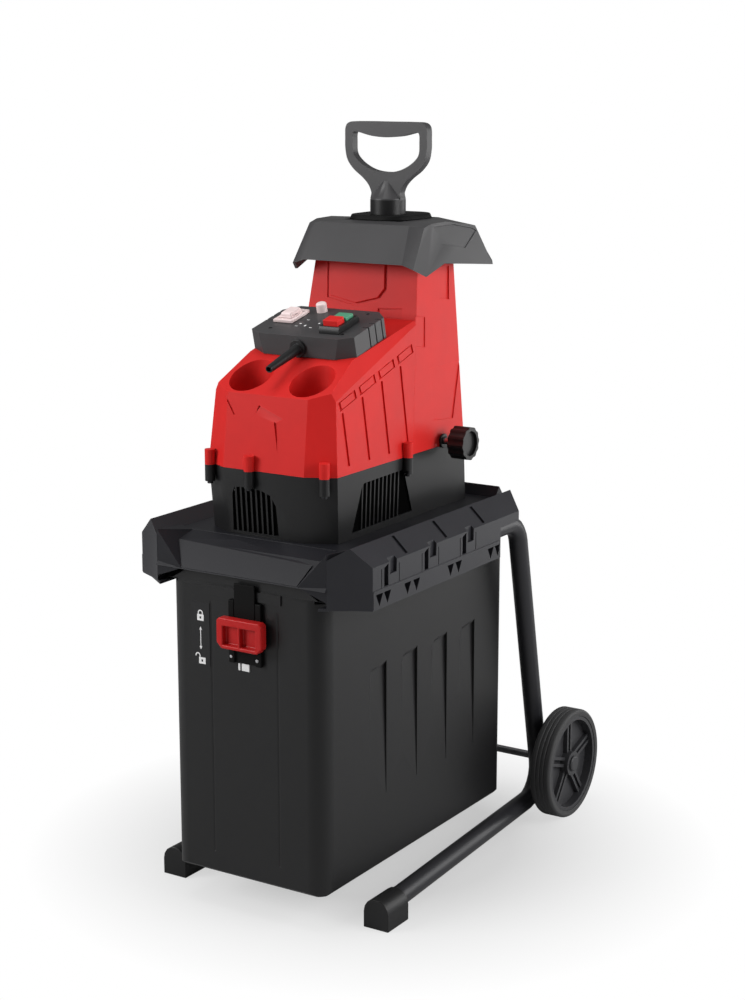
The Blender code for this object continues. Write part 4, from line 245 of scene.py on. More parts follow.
PAINT = {
    "red_plastic": moulded_plastic("red_plastic_grain", (0.61, 0.020, 0.018), 0.42, shine=0.12),
    "dark_grey_plastic": moulded_plastic("grey_plastic_grain", (0.045, 0.044, 0.046), 0.42),
    "deck_plastic": moulded_plastic("deck_plastic_grain", (0.020, 0.020, 0.024), 0.42),
    "black_plastic": moulded_plastic("black_plastic_grain", (0.0085, 0.0085, 0.0090), 0.40),
    "pale_plastic": moulded_plastic("pale_plastic_smooth", (0.84, 0.68, 0.67), 0.30, grain=0.02),
    "green_plastic": moulded_plastic("green_plastic_smooth", (0.08, 0.30, 0.18), 0.30, grain=0.02),
    "tyre_rubber": moulded_plastic("tyre_rubber_dull", (0.042, 0.042, 0.043), 0.62, grain=0.2),
    "tube_paint": moulded_plastic("tube_powder_coat", (0.020, 0.020, 0.023), 0.40, grain=0.2),
    "steel": bare_metal("bright_steel", (0.58, 0.58, 0.60), 0.32),
    "cast_aluminium": bare_metal("cast_metal", (0.60, 0.60, 0.61), 0.50),
    "black_steel": bare_metal("black_steel_oxide", (0.050, 0.050, 0.053), 0.40),
}
slot_of = {row["node"]: row["material_slot"] for row in frame["record"]["subparts"]}


def softened(made, width, segments=2, angle=32):
    """Round an object's edges and shade it as a moulding."""
    for face in made.data.polygons:
        face.use_smooth = True
    edge = made.modifiers.new("edge", "BEVEL")
    edge.width = width
    edge.segments = segments
    edge.limit_method = "ANGLE"
    edge.angle_limit = math.radians(angle)
    normals = made.modifiers.new("normals", "WEIGHTED_NORMAL")
    normals.keep_sharp = False


for node, solid in frame["nodes"].items():
    solid.data.materials.clear()
    solid.data.materials.append(PAINT[slot_of[node]])
    weld = solid.modifiers.new("weld", "WELD")
    weld.merge_threshold = CAD_WELD
    flat = solid.modifiers.new("flat", "DECIMATE")
    flat.decimate_type = "DISSOLVE"
    flat.angle_limit = CAD_FLAT_ANGLE
    softened(solid, CAD_EDGE)


# Wheels: grey plastic discs on a dull zinc-plated axle. Their tyres are solid rubber rings with rounded
# shoulders and three shallow grooves round the tread.
WHEEL_X = 0.202
AXLE = Vector((0, 0.2714, 0.09))
TYRE_HALF_W = 0.018
TYRE_INNER_R = 0.079
TYRE_OUTER_R = 0.090
TYRE_BEAD = 0.001
TYRE_STEPS = 96
SHOULDER_R = 0.005
SHOULDER_STEPS = 6
TREAD_GROOVES = (0.007, 0.0, -0.007)
TREAD_SECTION = ((0.0014, 0), (0.0007, 0.0009), (-0.0007, 0.0009), (-0.0014, 0))


def drop_loose_edges(shape):
    loose = [edge for edge in shape.edges if not edge.link_faces]
    bmesh.ops.delete(shape, geom=loose, context="EDGES")


def spun(outline, centre, axis, steps):
    """A closed outline of (radius, distance along the axis) turned right round."""
    shape = bmesh.new()
    axis = Vector(axis)
    side = Vector((0, 0, 1)) if abs(axis.z) < 0.5 else Vector((1, 0, 0))
    side = (side - axis * side.dot(axis)).normalized()
    corners = [shape.verts.new(Vector(centre) + side * r + axis * d) for r, d in outline]
    edges = [shape.edges.new(ends) for ends in zip(corners, corners[1:] + corners[:1])]
    bmesh.ops.spin(
        shape, geom=corners + edges, cent=centre, axis=axis, angle=math.tau, steps=steps, use_merge=True
    )
    bmesh.ops.remove_doubles(shape, verts=shape.verts[:], dist=1e-6)
    bmesh.ops.dissolve_degenerate(shape, dist=1e-7, edges=shape.edges[:])
    drop_loose_edges(shape)
    bmesh.ops.recalc_face_normals(shape, faces=shape.faces[:])
    return shape


def dress(name, shape, node, soft, segments=2, angle=32, body="chassis", paint=None):
    """A detailed piece in place of one CAD node, in that node's finish or in one of its own."""
    made = added(name, shape, paint or PAINT[slot_of[node]])
    softened(made, soft, segments, angle)
    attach(made, body)
    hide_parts(node)


def tyre_outline():
    """(radius, distance along the axle) round the section."""
    shoulder = []
    for step in range(SHOULDER_STEPS + 1):
        angle = math.pi / 2 * step / SHOULDER_STEPS
        r = TYRE_OUTER_R - SHOULDER_R * (1 - math.cos(angle))
        shoulder.append((r, TYRE_HALF_W - SHOULDER_R * (1 - math.sin(angle))))
    points = [(TYRE_INNER_R, TYRE_HALF_W - TYRE_BEAD)] + shoulder[::-1]
    for place in TREAD_GROOVES:
        points += [(TYRE_OUTER_R - depth, place + shift) for shift, depth in TREAD_SECTION]
    points += [(r, -d) for r, d in shoulder]
    return points + [(TYRE_INNER_R, -TYRE_HALF_W + TYRE_BEAD)]


for word, side in (("right", 1), ("left", -1)):
    tyre = spun(tyre_outline(), AXLE + Vector((side * WHEEL_X, 0, 0)), (1, 0, 0), TYRE_STEPS)
    wheel_body = "wheel_" + word + "_body"
    dress("tyre_" + word + "_rubber", tyre, "tyre_" + word, soft=0.0003, angle=40, body=wheel_body)
wheel_paint = moulded_plastic("wheel_plastic_grain", (0.034, 0.034, 0.037), 0.45)
axle_paint = bare_metal("axle_dull_zinc", (0.26, 0.26, 0.27), 0.50)
for node in ("wheel_left", "wheel_right", "hub_cap_left", "hub_cap_right"):
    frame["nodes"][node].data.materials[0] = wheel_paint
frame["nodes"]["wheel_axle"].data.materials[0] = axle_paint


# Deck: one large plastic moulding that the motor stands on. Its apron falls away in front in broad
# facets that meet in a crooked crease, higher at the left of the middle and lower at the right.
APRON = (
    (-0.122, -0.3258, 0.5468), (-0.031, -0.3070, 0.5535), (0.112, -0.3310, 0.5405),
    (0.099, -0.3508, 0.5132), (-0.099, -0.3508, 0.5132),
)
APRON_OUT = Vector((0, -0.5, 0.87)) * 0.0012
APRON_IN = Vector((0, 0.5, -0.87)) * 0.0020
FLAT_ANGLE = math.radians(0.3)
SLIVER = 0.00004


def joined_flats(shape):
    bmesh.ops.dissolve_limit(shape, angle_limit=FLAT_ANGLE, verts=shape.verts[:], edges=shape.edges[:])
    return shape


def copied(node):
    """A CAD node's shape with its loose triangles welded and its flat areas joined."""
    shape = bmesh.new()
    shape.from_mesh(frame["nodes"][node].data)
    bmesh.ops.remove_doubles(shape, verts=shape.verts[:], dist=CAD_WELD)
    return joined_flats(shape)


def hull(points):
    """The tightest convex shape round some points."""
    shape = bmesh.new()
    for point in points:
        shape.verts.new(point)
    made = bmesh.ops.convex_hull(shape, input=shape.verts[:])
    spare = dict.fromkeys(made["geom_interior"] + made["geom_unused"])
    spare = [item for item in spare if isinstance(item, bmesh.types.BMVert)]
    bmesh.ops.delete(shape, geom=spare, context="VERTS")
    return joined_flats(shape)


def combined(shape, operation, tools):
    """The shape with the tools cut out of it or joined to it; all are used up."""
    holders = []
    for part in (shape, *tools):
        holder = bpy.data.objects.new("tool", bpy.data.meshes.new("tool"))
        part.to_mesh(holder.data)
        part.free()
        scene.collection.objects.link(holder)
        holders.append(holder)
    for tool in holders[1:]:
        step = holders[0].modifiers.new("step", "BOOLEAN")
        step.operation = operation
        step.solver = "EXACT"
        step.use_hole_tolerant = True
        step.object = tool
    result = bmesh.new()
    result.from_object(holders[0], bpy.context.evaluated_depsgraph_get())
    for holder in holders:
        bpy.data.objects.remove(holder, do_unlink=True)
    bmesh.ops.remove_doubles(result, verts=result.verts[:], dist=SLIVER)
    bmesh.ops.dissolve_degenerate(result, dist=SLIVER, edges=result.edges[:])
    joined_flats(result)
    drop_loose_edges(result)
    return result


def join(shape, *tools):
    return combined(shape, "UNION", tools)


apron = hull([Vector(corner) + shift for corner in APRON for shift in (APRON_OUT, APRON_IN)])
deck_paint = moulded_plastic("deck_apron_grain", (0.0105, 0.0105, 0.0135), 0.46, shine=0.24)
dress("deck_moulding", join(copied("deck"), apron), "deck", soft=0.0012, angle=12, paint=deck_paint)


# Side rails: long glass-filled mouldings clipped over the stand's tubes. Broad grooves cross the
# sloping tops; the outer faces have clip slots, pockets in the shoulder and pairs of small windows.
# The slots of the CAD are filled first, because the real ones sit a little further forward.
RAIL_OUT_X = 0.200
RAIL_SHOULDER_Z = 0.546
RAIL_SLOPE = (0.68, 0, 0.733)
RIDGE_X = 0.172
RIDGE_Z = 0.572
CAD_SLOTS = (-0.245, -0.135, -0.025)
CAD_SLOT_DEPTH = 0.0055
CAD_SLOT_HALF_W = 0.0038
CAD_SLOT_Z = (RAIL_SHOULDER_Z - 0.047, RAIL_SHOULDER_Z - 0.0045)
RAIL_BAND = ((RAIL_OUT_X - 0.002, -0.3145, 0.4865), (RAIL_OUT_X + 0.0012, 0.040, 0.5125))
SLOTS = (-0.2805, -0.1730, -0.0650)
CLIP_SLOT = ((-0.0055, 0.5135), (0.0055, 0.5135), (-0.0055, 0.5400), (0.0055, 0.5445))
SHOULDER_POCKET = ((0.0100, 0.5285), (0.0270, 0.5285), (0.0085, 0.5600), (0.0285, 0.5600))
LINE_BEHIND = ((0.0330, 0.5135), (0.0330, 0.5400), (0.0348, 0.5135), (0.0348, 0.5400))
LINE_BEFORE = ((-0.0130, 0.5135), (-0.0130, 0.5400), (-0.0112, 0.5135), (-0.0112, 0.5400))
SLOT_CUTS = ((CLIP_SLOT, 0.006), (SHOULDER_POCKET, 0.005), (LINE_BEHIND, 0.001), (LINE_BEFORE, 0.001))
TOP_GROOVES = (-0.224, -0.114, -0.004)
TOP_GROOVE_HALF_W = 0.004
TOP_GROOVE_DEPTH = 0.0032
TOP_GROOVE_ENDS = ((RIDGE_X + 0.0025, RIDGE_Z - 0.0023), (RAIL_OUT_X - 0.0025, RAIL_SHOULDER_Z + 0.0023))
WINDOWS = (-0.3000, -0.2790, -0.2259, -0.2016, -0.1064, -0.0832, 0.0126, 0.0342)
WINDOW_HALF_W = 0.0092
WINDOW_Z = (0.4895, 0.5068)
WINDOW_DEPTH = 0.008
CLEAR = 0.01


def box(low, high):
    return hull(itertools.product(*zip(low, high)))


def slab(corners, normal, out, deep):
    """A plate of any outline on a face: it stands out by one distance and goes in by the other."""
    shape = bmesh.new()
    way = Vector(normal).normalized()
    top = shape.faces.new([shape.verts.new(Vector(corner) + way * out) for corner in corners])
    grown = bmesh.ops.extrude_face_region(shape, geom=[top])["geom"]
    floor = [item for item in grown if isinstance(item, bmesh.types.BMVert)]
    bmesh.ops.translate(shape, verts=floor, vec=way * -(out + deep))
    bmesh.ops.recalc_face_normals(shape, faces=shape.faces[:])
    return shape


def cut(shape, *tools):
    return combined(shape, "DIFFERENCE", tools)


def mirrored(shape):
    bmesh.ops.scale(shape, vec=(-1, 1, 1), verts=shape.verts[:])
    bmesh.ops.reverse_faces(shape, faces=shape.faces[:])
    return shape


def rail(word, side):
    """One rail, worked on as the right one and mirrored where it is the left."""
    shape = copied("side_rail_" + word)
    if side < 0:
        shape = mirrored(shape)
    fills = []
    for y in CAD_SLOTS:
        low = (RAIL_OUT_X - CAD_SLOT_DEPTH, y - CAD_SLOT_HALF_W, CAD_SLOT_Z[0])
        fills.append(box(low, (RAIL_OUT_X, y + CAD_SLOT_HALF_W, CAD_SLOT_Z[1])))
    shape = join(shape, box(*RAIL_BAND), *fills)
    tools = []
    for y in SLOTS:
        for outline, depth in SLOT_CUTS:
            depths = (RAIL_OUT_X - depth, RAIL_OUT_X + CLEAR)
            tools.append(hull([(x, y + shift, z) for x in depths for shift, z in outline]))
    for y in TOP_GROOVES:
        (high_x, high_z), (low_x, low_z) = TOP_GROOVE_ENDS
        front_y, back_y = y - TOP_GROOVE_HALF_W, y + TOP_GROOVE_HALF_W
        corners = [(high_x, front_y, high_z), (high_x, back_y, high_z)]
        corners += [(low_x, back_y, low_z), (low_x, front_y, low_z)]
        tools.append(slab(corners, RAIL_SLOPE, CLEAR, TOP_GROOVE_DEPTH))
    for y in WINDOWS:
        outline = ((y - WINDOW_HALF_W, WINDOW_Z[1]), (y + WINDOW_HALF_W, WINDOW_Z[1]), (y, WINDOW_Z[0]))
        tools.append(slab([(RAIL_OUT_X, *place) for place in outline], (1, 0, 0), CLEAR, WINDOW_DEPTH))
    shape = cut(shape, *tools)
    return mirrored(shape) if side < 0 else shape


for word, side in (("right", 1), ("left", -1)):
    dress("side_rail_" + word + "_clips", rail(word, side), "side_rail_" + word, soft=0.0009)


# Collecting bin: a black polypropylene tub that slides in under the deck. It has well rounded front
# corners, a shallow band down the front for the latch, and four tapering hollows in each side, where
# the ribs of the CAD are taken off and the wall is lined.
BIN_HALF_W = 0.1335
BIN_FRONT_Y = -0.340
BIN_CORNER_R = 0.028
BIN_CORNER_STEPS = 64
CORNER_POST = (
    (BIN_HALF_W - 0.026, BIN_FRONT_Y + 0.001, 0.062),
    (BIN_HALF_W - 0.001, BIN_FRONT_Y + 0.026, 0.488),
)
CORNER_SQUARE = (
    (BIN_HALF_W - BIN_CORNER_R, BIN_FRONT_Y - CLEAR, 0.03),
    (BIN_HALF_W + CLEAR, BIN_FRONT_Y + BIN_CORNER_R, 0.4935),
)
CORNER_ROUND = ((0, 0.02), (BIN_CORNER_R, 0.02), (BIN_CORNER_R, 0.52), (0, 0.52))
SIDE_LINING = ((BIN_HALF_W - 0.0065, -0.245, 0.13), (BIN_HALF_W - 0.0010, 0.12, 0.40))
CAD_RIBS = ((BIN_HALF_W, -0.30, 0.10), (BIN_HALF_W + 0.02, 0.16, 0.42))
HOLLOWS = (-0.1730, -0.0865, 0.0010, 0.0860)
HOLLOW_FLOOR = (
    (-0.0430, 0.3500, 0.0012), (-0.0370, 0.3585, 0.0034), (0, 0.3615, 0.0046), (0, 0.1650, 0.0004),
)
HOLLOW_RIM = ((-0.0460, 0.3540), (-0.0390, 0.3650), (0, 0.3690), (0, 0.1650), (-0.0460, 0.2200))
HOLLOW_OUT = 0.004
BAND_X = (-0.0575, 0.0580)
BAND_HALF_W = 0.009
BAND_OUT = 0.002
BAND_DEPTH = 0.0011
BAND_MOUTH_Z = (0.085, 0.472)
BAND_FLOOR_Z = (0.090, 0.467)
FRONT_LIP = ((-0.0645, BIN_FRONT_Y - 0.0022, 0.4790), (0.0650, BIN_FRONT_Y + 0.001, 0.4930))


def both_sides(shape):
    return [shape, mirrored(shape.copy())]


corner_middle = (BIN_HALF_W - BIN_CORNER_R, BIN_FRONT_Y + BIN_CORNER_R, 0)
corner_round = spun(CORNER_ROUND, corner_middle, (0, 0, 1), BIN_CORNER_STEPS)
corner_cut = cut(box(*CORNER_SQUARE), corner_round)
hollows = []
for y in HOLLOWS:
    points = [(BIN_HALF_W - deep, y + shift, z) for shift, z, deep in HOLLOW_FLOOR]
    points += [(BIN_HALF_W + out, y + shift, z) for shift, z in HOLLOW_RIM for out in (0, HOLLOW_OUT)]
    hollows += both_sides(hull(points))
bands = []
for x in BAND_X:
    edges = (x - BAND_HALF_W, x + BAND_HALF_W)
    points = [(edge, BIN_FRONT_Y - BAND_OUT, z) for edge in edges for z in BAND_MOUTH_Z]
    bands.append(hull(points + [(x, BIN_FRONT_Y + BAND_DEPTH, z) for z in BAND_FLOOR_Z]))
tub = join(copied("collection_bin"), *both_sides(box(*CORNER_POST)), *both_sides(box(*SIDE_LINING)))
tub = cut(tub, *both_sides(corner_cut), *both_sides(box(*CAD_RIBS)))
tub = cut(tub, *hollows, *bands)
tub = join(tub, box(*FRONT_LIP))
dress("bin_tub", tub, "collection_bin", soft=0.0020, segments=3, body="bin_body")


# Lock strip: a black printed film stuck on the bin's front. A shut lock above, a two-way arrow and an
# open lock below show the ways of the latch.
LABEL_X = -0.0760
LABEL_HALF_W = 0.0160
LABEL_Z = (0.3695, 0.4640)
LABEL_T = 0.0004
LABEL_EDGE = 0.0001
STUCK_IN = 0.0002
INK_T = 0.00015
INK_EDGE = 0.00002
SHUT_LOCK = (LABEL_X, 0.4460)
OPEN_LOCK = (LABEL_X + 0.002, 0.3820)
LOCK_HALF_W = 0.0058
LOCK_H = 0.0095
KEYHOLE_HALF_W = 0.0014
KEYHOLE_Z = (0.003, 0.0065)
KEYHOLE_T = 0.0001
SHACKLE_R = 0.0044
SHACKLE_T = 0.0017
SHACKLE_RISE = 0.0022
SHACKLE_STEPS = 12
SWUNG_ASIDE = 0.0075
SWUNG_LIFT = 0.0012
ARROW_Z = (0.3935, 0.4280)
ARROW_HEAD = 0.005
ARROW_HEAD_HALF_W = 0.0023
ARROW_STEM_HALF_W = 0.0006
ink = moulded_plastic("label_white_ink", (0.80, 0.80, 0.80), 0.5, grain=0.02, wear=0.0)
film = moulded_plastic("label_black_film", (0.009, 0.009, 0.010), 0.50, grain=0.02, wear=0.0)


def extra(name, shape, paint, body="chassis", soft=0.0004):
    """A small piece of its own, fixed to a body."""
    made = added(name, shape, paint)
    softened(made, soft)
    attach(made, body)


def inked(name, outline):
    """A flat printed figure on the strip, from an outline of (x, z)."""
    shape = slab([(x, BIN_FRONT_Y - LABEL_T, z) for x, z in outline], (0, -1, 0), INK_T, STUCK_IN)
    extra(name, shape, ink, "bin_body", INK_EDGE)


def upright(x, half_w, low, high):
    """The outline of an oblong."""
    return [(x - half_w, low), (x + half_w, low), (x + half_w, high), (x - half_w, high)]


def half_round(middle, radius):
    turns = [math.pi * step / SHACKLE_STEPS for step in range(SHACKLE_STEPS + 1)]
    return [(middle[0] + radius * math.cos(turn), middle[1] + radius * math.sin(turn)) for turn in turns]


def lock_sign(word, x, z, opened):
    """A plain lock: a block with a keyhole and a round shackle, swung aside where it is open."""
    low = z - LOCK_H
    inked("lock_block_" + word, upright(x, LOCK_HALF_W, low, z))
    top_y = BIN_FRONT_Y - LABEL_T - INK_T
    keyhole = upright(x, KEYHOLE_HALF_W, low + KEYHOLE_Z[0], low + KEYHOLE_Z[1])
    hole = slab([(place, top_y, height) for place, height in keyhole], (0, -1, 0), KEYHOLE_T, STUCK_IN)
    extra("lock_keyhole_" + word, hole, film, "bin_body", INK_EDGE)
    middle = (x - (SWUNG_ASIDE if opened else 0.0), z + SHACKLE_RISE)
    outer = half_round(middle, SHACKLE_R)
    inner = half_round(middle, SHACKLE_R - SHACKLE_T)
    near_z = z - STUCK_IN
    near = [(middle[0] + SHACKLE_R - SHACKLE_T, near_z), (middle[0] + SHACKLE_R, near_z)]
    far_z = z + SWUNG_LIFT if opened else near_z
    far = [(middle[0] - SHACKLE_R, far_z), (middle[0] - SHACKLE_R + SHACKLE_T, far_z)]
    inked("lock_shackle_" + word, outer + far + inner[::-1] + near)


strip = box(
    (LABEL_X - LABEL_HALF_W, BIN_FRONT_Y - LABEL_T, LABEL_Z[0]),
    (LABEL_X + LABEL_HALF_W, BIN_FRONT_Y + STUCK_IN, LABEL_Z[1]),
)
extra("lock_strip", strip, film, "bin_body", LABEL_EDGE)
lock_sign("shut", *SHUT_LOCK, False)
lock_sign("open", *OPEN_LOCK, True)
head_low = ARROW_Z[0] + ARROW_HEAD
head_high = ARROW_Z[1] - ARROW_HEAD
right_half = [
    (0, ARROW_Z[1]), (ARROW_HEAD_HALF_W, head_high), (ARROW_STEM_HALF_W, head_high),
    (ARROW_STEM_HALF_W, head_low), (ARROW_HEAD_HALF_W, head_low), (0, ARROW_Z[0]),
]
arrow = right_half + [(-x, z) for x, z in right_half[-2:0:-1]]
inked("lock_arrow", [(LABEL_X + x, z) for x, z in arrow])


# Latch: a red plastic slider with a ribbed finger pocket, on a black guide. Two bright screws hold the
# guide to the bin, and the pale end of its spring hook shows below. The guide and its tongue are painted
# a deeper, duller black than the black plastic: partly their own black, partly painted shade of their
# slot.
LATCH_SCREWS = (("left", -0.0175), ("right", 0.0275))
LATCH_SCREW = ((0, 0), (0.0026, 0), (0.0022, 0.0012), (0, 0.0012))
LATCH_SCREW_STEPS = 20
LATCH_SCREW_Y = -0.3467
LATCH_SCREW_Z = 0.3945
HOOK_END = ((-0.003, -0.3420, 0.3740), (0.010, BIN_FRONT_Y + 0.0004, 0.3846))
HOOK_TIP = ((-0.009, -0.3420, 0.3740), (-0.006, BIN_FRONT_Y + 0.0004, 0.3846))
# Blacker and duller than the black plastic: partly the parts' own black, partly painted shade of the
# latch's slot and, on the plunger's flange, of the hood's mouth.
black_and_painted_shade = moulded_plastic("latch_black_painted_shade", (0.004, 0.004, 0.004), 0.55, wear=0.1, shine=0.1)
latch_red = moulded_plastic("latch_red_grain", (0.46, 0.012, 0.012), 0.36, shine=0.22)
for node in ("latch_guide", "latch_tongue"):
    frame["nodes"][node].data.materials[0] = black_and_painted_shade
dress(
    "latch_slider_moulding", copied("latch_slider"), "latch_slider", soft=0.0030, segments=4,
    body="latch_body", paint=latch_red,
)
for word, x in LATCH_SCREWS:
    head = spun(LATCH_SCREW, (x, LATCH_SCREW_Y, LATCH_SCREW_Z), (0, -1, 0), LATCH_SCREW_STEPS)
    extra("latch_screw_" + word, head, PAINT["steel"], "bin_body")
extra("latch_hook", join(box(*HOOK_END), box(*HOOK_TIP)), ink, "bin_body")


# Lower housing: the black moulded half shell round the motor, screwed to the deck. A grille of upright
# fins fills an arched window in front and a sloping window in each side. Behind the fins a flat sheet of
# dull black without sheen is painted shade, standing for the dark inside of the housing.
HOUSING_Z = 0.5563
SPLIT_Z = 0.6523
BASE_HALF_W = 0.108
SPLIT_HALF_W = 0.1115
BASE_FRONT_Y = -0.282
SPLIT_FRONT_Y = -0.289
FIN_HALF_W = 0.0014
FIN_DEPTHS = (0.0005, 0.0028)
FRONT_FINS = [-0.0500 + 0.0088 * count for count in range(8)]
FRONT_FIN_Z = (0.558, 0.632)
SIDE_FINS = [-0.2000 + 0.0108 * count for count in range(10)]
SIDE_FIN_Z = (0.560, 0.640)
FRONT_WINDOW = (
    (-0.0575, 0.5610), (0.0215, 0.5610), (0.0195, 0.6040), (0.0110, 0.6190), (-0.0060, 0.6250),
    (-0.0400, 0.6270), (-0.0520, 0.6250), (-0.0560, 0.6160),
)
SIDE_WINDOW = (
    (-0.2257, 0.5650), (-0.2029, 0.6284), (-0.1970, 0.6330), (-0.0950, 0.6345), (-0.0880, 0.6300),
    (-0.0623, 0.5670),
)
THROUGH_WALL = 0.012
SHADE_SHEET_LEVELS = (-0.0031, 0.0036)
SHADE_SHEET_EDGE = 0.0001


def housing_rise(z):
    return (z - HOUSING_Z) / (SPLIT_Z - HOUSING_Z)


def housing_side(y, z):
    return Vector((BASE_HALF_W + (SPLIT_HALF_W - BASE_HALF_W) * housing_rise(z), y, z))


def housing_front(x, z):
    return Vector((x, BASE_FRONT_Y + (SPLIT_FRONT_Y - BASE_FRONT_Y) * housing_rise(z), z))


def fin(ends, across, inward):
    """An upright bar just inside the housing's face."""
    points = []
    for end in ends:
        for shift in (-FIN_HALF_W, FIN_HALF_W):
            points += [end + Vector(across) * shift + Vector(inward) * depth for depth in FIN_DEPTHS]
    return hull(points)


front_corners = [housing_front(x, z) for x, z in FRONT_WINDOW]
side_corners = [housing_side(y, z) for y, z in SIDE_WINDOW]
windows = [slab(front_corners, (0, -1, 0), CLEAR, THROUGH_WALL)]
windows += both_sides(slab(side_corners, (1, 0, 0), CLEAR, THROUGH_WALL))
fins = []
for x in FRONT_FINS:
    fins.append(fin([housing_front(x, z) for z in FRONT_FIN_Z], (1, 0, 0), (0, 1, 0)))
for y in SIDE_FINS:
    fins += both_sides(fin([housing_side(y, z) for z in SIDE_FIN_Z], (0, 1, 0), (-1, 0, 0)))
lower = join(cut(copied("lower_housing"), *windows), *fins)
dress("lower_shell", lower, "lower_housing", soft=0.0012)
# Painted shade: a dull near-black sheet without sheen behind each window, for the dark inside of the
# housing.
painted_shade_sheet = moulded_plastic("vent_gauze_weave", (0.002, 0.002, 0.002), 0.9, grain=0.4, wear=0.0, shine=0.0)
sheets = [slab(front_corners, (0, -1, 0), *SHADE_SHEET_LEVELS)]
sheets += both_sides(slab(side_corners, (1, 0, 0), *SHADE_SHEET_LEVELS))
for word, sheet in zip(("front", "right", "left"), sheets):
    extra("vent_gauze_" + word, sheet, painted_shade_sheet, soft=SHADE_SHEET_EDGE)


# Motor cover: red moulded front shell on the lower housing. A notched panel breaks its front; on each
# flank upright grooves part four ribs, and a small block within a groove ends each rib at the shoulder.
# The grooves of the CAD are filled first, because the real ones lean less.
SIDE_LEAN = 0.078
COVER_Z = 0.6526
COVER_FRONT_RISE = 0.1075
COVER_FRONT_BACK = 0.013
RIBS = 4
RIB_PITCH = 0.053
RIB_RISE = 0.0152
CAD_GROOVE = ((-0.228, 0.6636), (-0.245, 0.7546))
CAD_GROOVE_RISE = 0.30
CAD_GROOVE_HALF_W = 0.0023
CAD_GROOVE_DEPTH = 0.0024
GROOVE = ((-0.2363, 0.6640), (-0.2440, 0.7400))
GROOVE_HALF_W = 0.0030
GROOVE_DEPTH = 0.0026
POCKET = ((-0.2530, 0.7550), (-0.2085, 0.7680), (-0.2045, 0.7555), (-0.2490, 0.7425))
POCKET_DEPTH = 0.0022
POCKET_BLOCK = 0.76
DIAMOND = ((-0.0134, 0.7457), (0.0289, 0.7300), (0.0157, 0.7232), (-0.0194, 0.7325))
NOTCH = ((0.0135, 0.7240), (0.0195, 0.7235), (0.0224, 0.6819))
NOTCH_DEPTH = 0.0024
LEFT_CREASE = ((-0.0790, 0.7600), (-0.0735, 0.7600), (-0.0535, 0.7280), (-0.0565, 0.7280))
LEFT_CREASE_DEPTH = 0.0022
FLANK_NORMAL = Vector((1, 0, SIDE_LEAN)).normalized()
FRONT_NORMAL = Vector((0, -COVER_FRONT_RISE, COVER_FRONT_BACK)).normalized()
THROUGH = 0.02


def flank(y, z):
    return Vector((SPLIT_HALF_W - SIDE_LEAN * (z - SPLIT_Z), y, z))


def cover_front(x, z):
    return Vector((x, SPLIT_FRONT_Y + COVER_FRONT_BACK * (z - COVER_Z) / COVER_FRONT_RISE, z))


def groove_corners(ends, rise, half_w, step):
    (low_y, low_z), (high_y, high_z) = ends
    corners = [
        flank(low_y - half_w, low_z), flank(low_y + half_w, low_z),
        flank(high_y + half_w, high_z + rise), flank(high_y - half_w, high_z + rise),
    ]
    return [corner + step for corner in corners]


fills = []
cuts = []
for count in range(RIBS):
    step = Vector((0, RIB_PITCH * count, 0))
    cad_rise = RIB_PITCH * CAD_GROOVE_RISE * count
    fill = groove_corners(CAD_GROOVE, cad_rise, CAD_GROOVE_HALF_W, step)
    fills += both_sides(slab(fill, FLANK_NORMAL, 0, CAD_GROOVE_DEPTH))
    line = groove_corners(GROOVE, RIB_RISE * count, GROOVE_HALF_W, step)
    cuts += both_sides(slab(line, FLANK_NORMAL, CLEAR, GROOVE_DEPTH))
    pocket = [flank(y + RIB_PITCH * count, z + RIB_RISE * count) for y, z in POCKET]
    centre = sum(pocket, Vector()) / len(pocket)
    block = [centre + (corner - centre) * POCKET_BLOCK for corner in pocket]
    ring = slab(pocket, FLANK_NORMAL, CLEAR, POCKET_DEPTH)
    cuts += both_sides(cut(ring, slab(block, FLANK_NORMAL, THROUGH, THROUGH)))
diamond = [cover_front(x, z) for x, z in DIAMOND]
points = [corner + FRONT_NORMAL * CLEAR for corner in diamond]
points += [corner - FRONT_NORMAL * NOTCH_DEPTH for corner in diamond[:2]] + diamond[2:]
cuts.append(hull(points))
cuts.append(slab([cover_front(x, z) for x, z in NOTCH], FRONT_NORMAL, CLEAR, NOTCH_DEPTH))
cuts.append(slab([cover_front(x, z) for x, z in LEFT_CREASE], FRONT_NORMAL, CLEAR, LEFT_CREASE_DEPTH))
cover = cut(join(copied("motor_cover"), *fills), *cuts)
dress("motor_cover_shell", cover, "motor_cover", soft=0.0016, segments=3, angle=20)


# Hopper tower: red moulded rear shell round the chute. A panel with a pointed lower edge stands out
# under the hood within a groove; beside it is a square pocket, and the flanks have pressed pockets.
TOWER_TOP = Vector((0, -0.0137, 0.9603))
TOWER_LEAN = 0.167
TOWER_NORMAL = Vector((0, -1, TOWER_LEAN)).normalized()
TOWER_PANEL = (
    (-0.0660, 0.9570), (-0.0585, 0.8737), (-0.0109, 0.8648), (0.0270, 0.8745), (0.0378, 0.8883),
    (0.0320, 0.9570),
)
TOWER_KEEP = ((-0.0667, 0.9650), *TOWER_PANEL[1:-1], (0.0314, 0.9650))
TOWER_GROOVE = (
    (-0.0710, 0.9570), (-0.0630, 0.8705), (-0.0109, 0.8610), (0.0290, 0.8712), (0.0415, 0.8870),
    (0.0355, 0.9570),
)
TOWER_GROOVE_DEPTH = 0.0018
RAISED_MIDDLE = (-0.014, 0.912)
RAISED_SHARE = 0.985
RAISED_OUT = 0.0020
RAISED_IN = 0.001
TOWER_POCKET = ((0.0282, 0.8590), (0.0707, 0.8615), (0.0751, 0.8206), (0.0327, 0.8180))
TOWER_POCKET_DEPTH = 0.0024
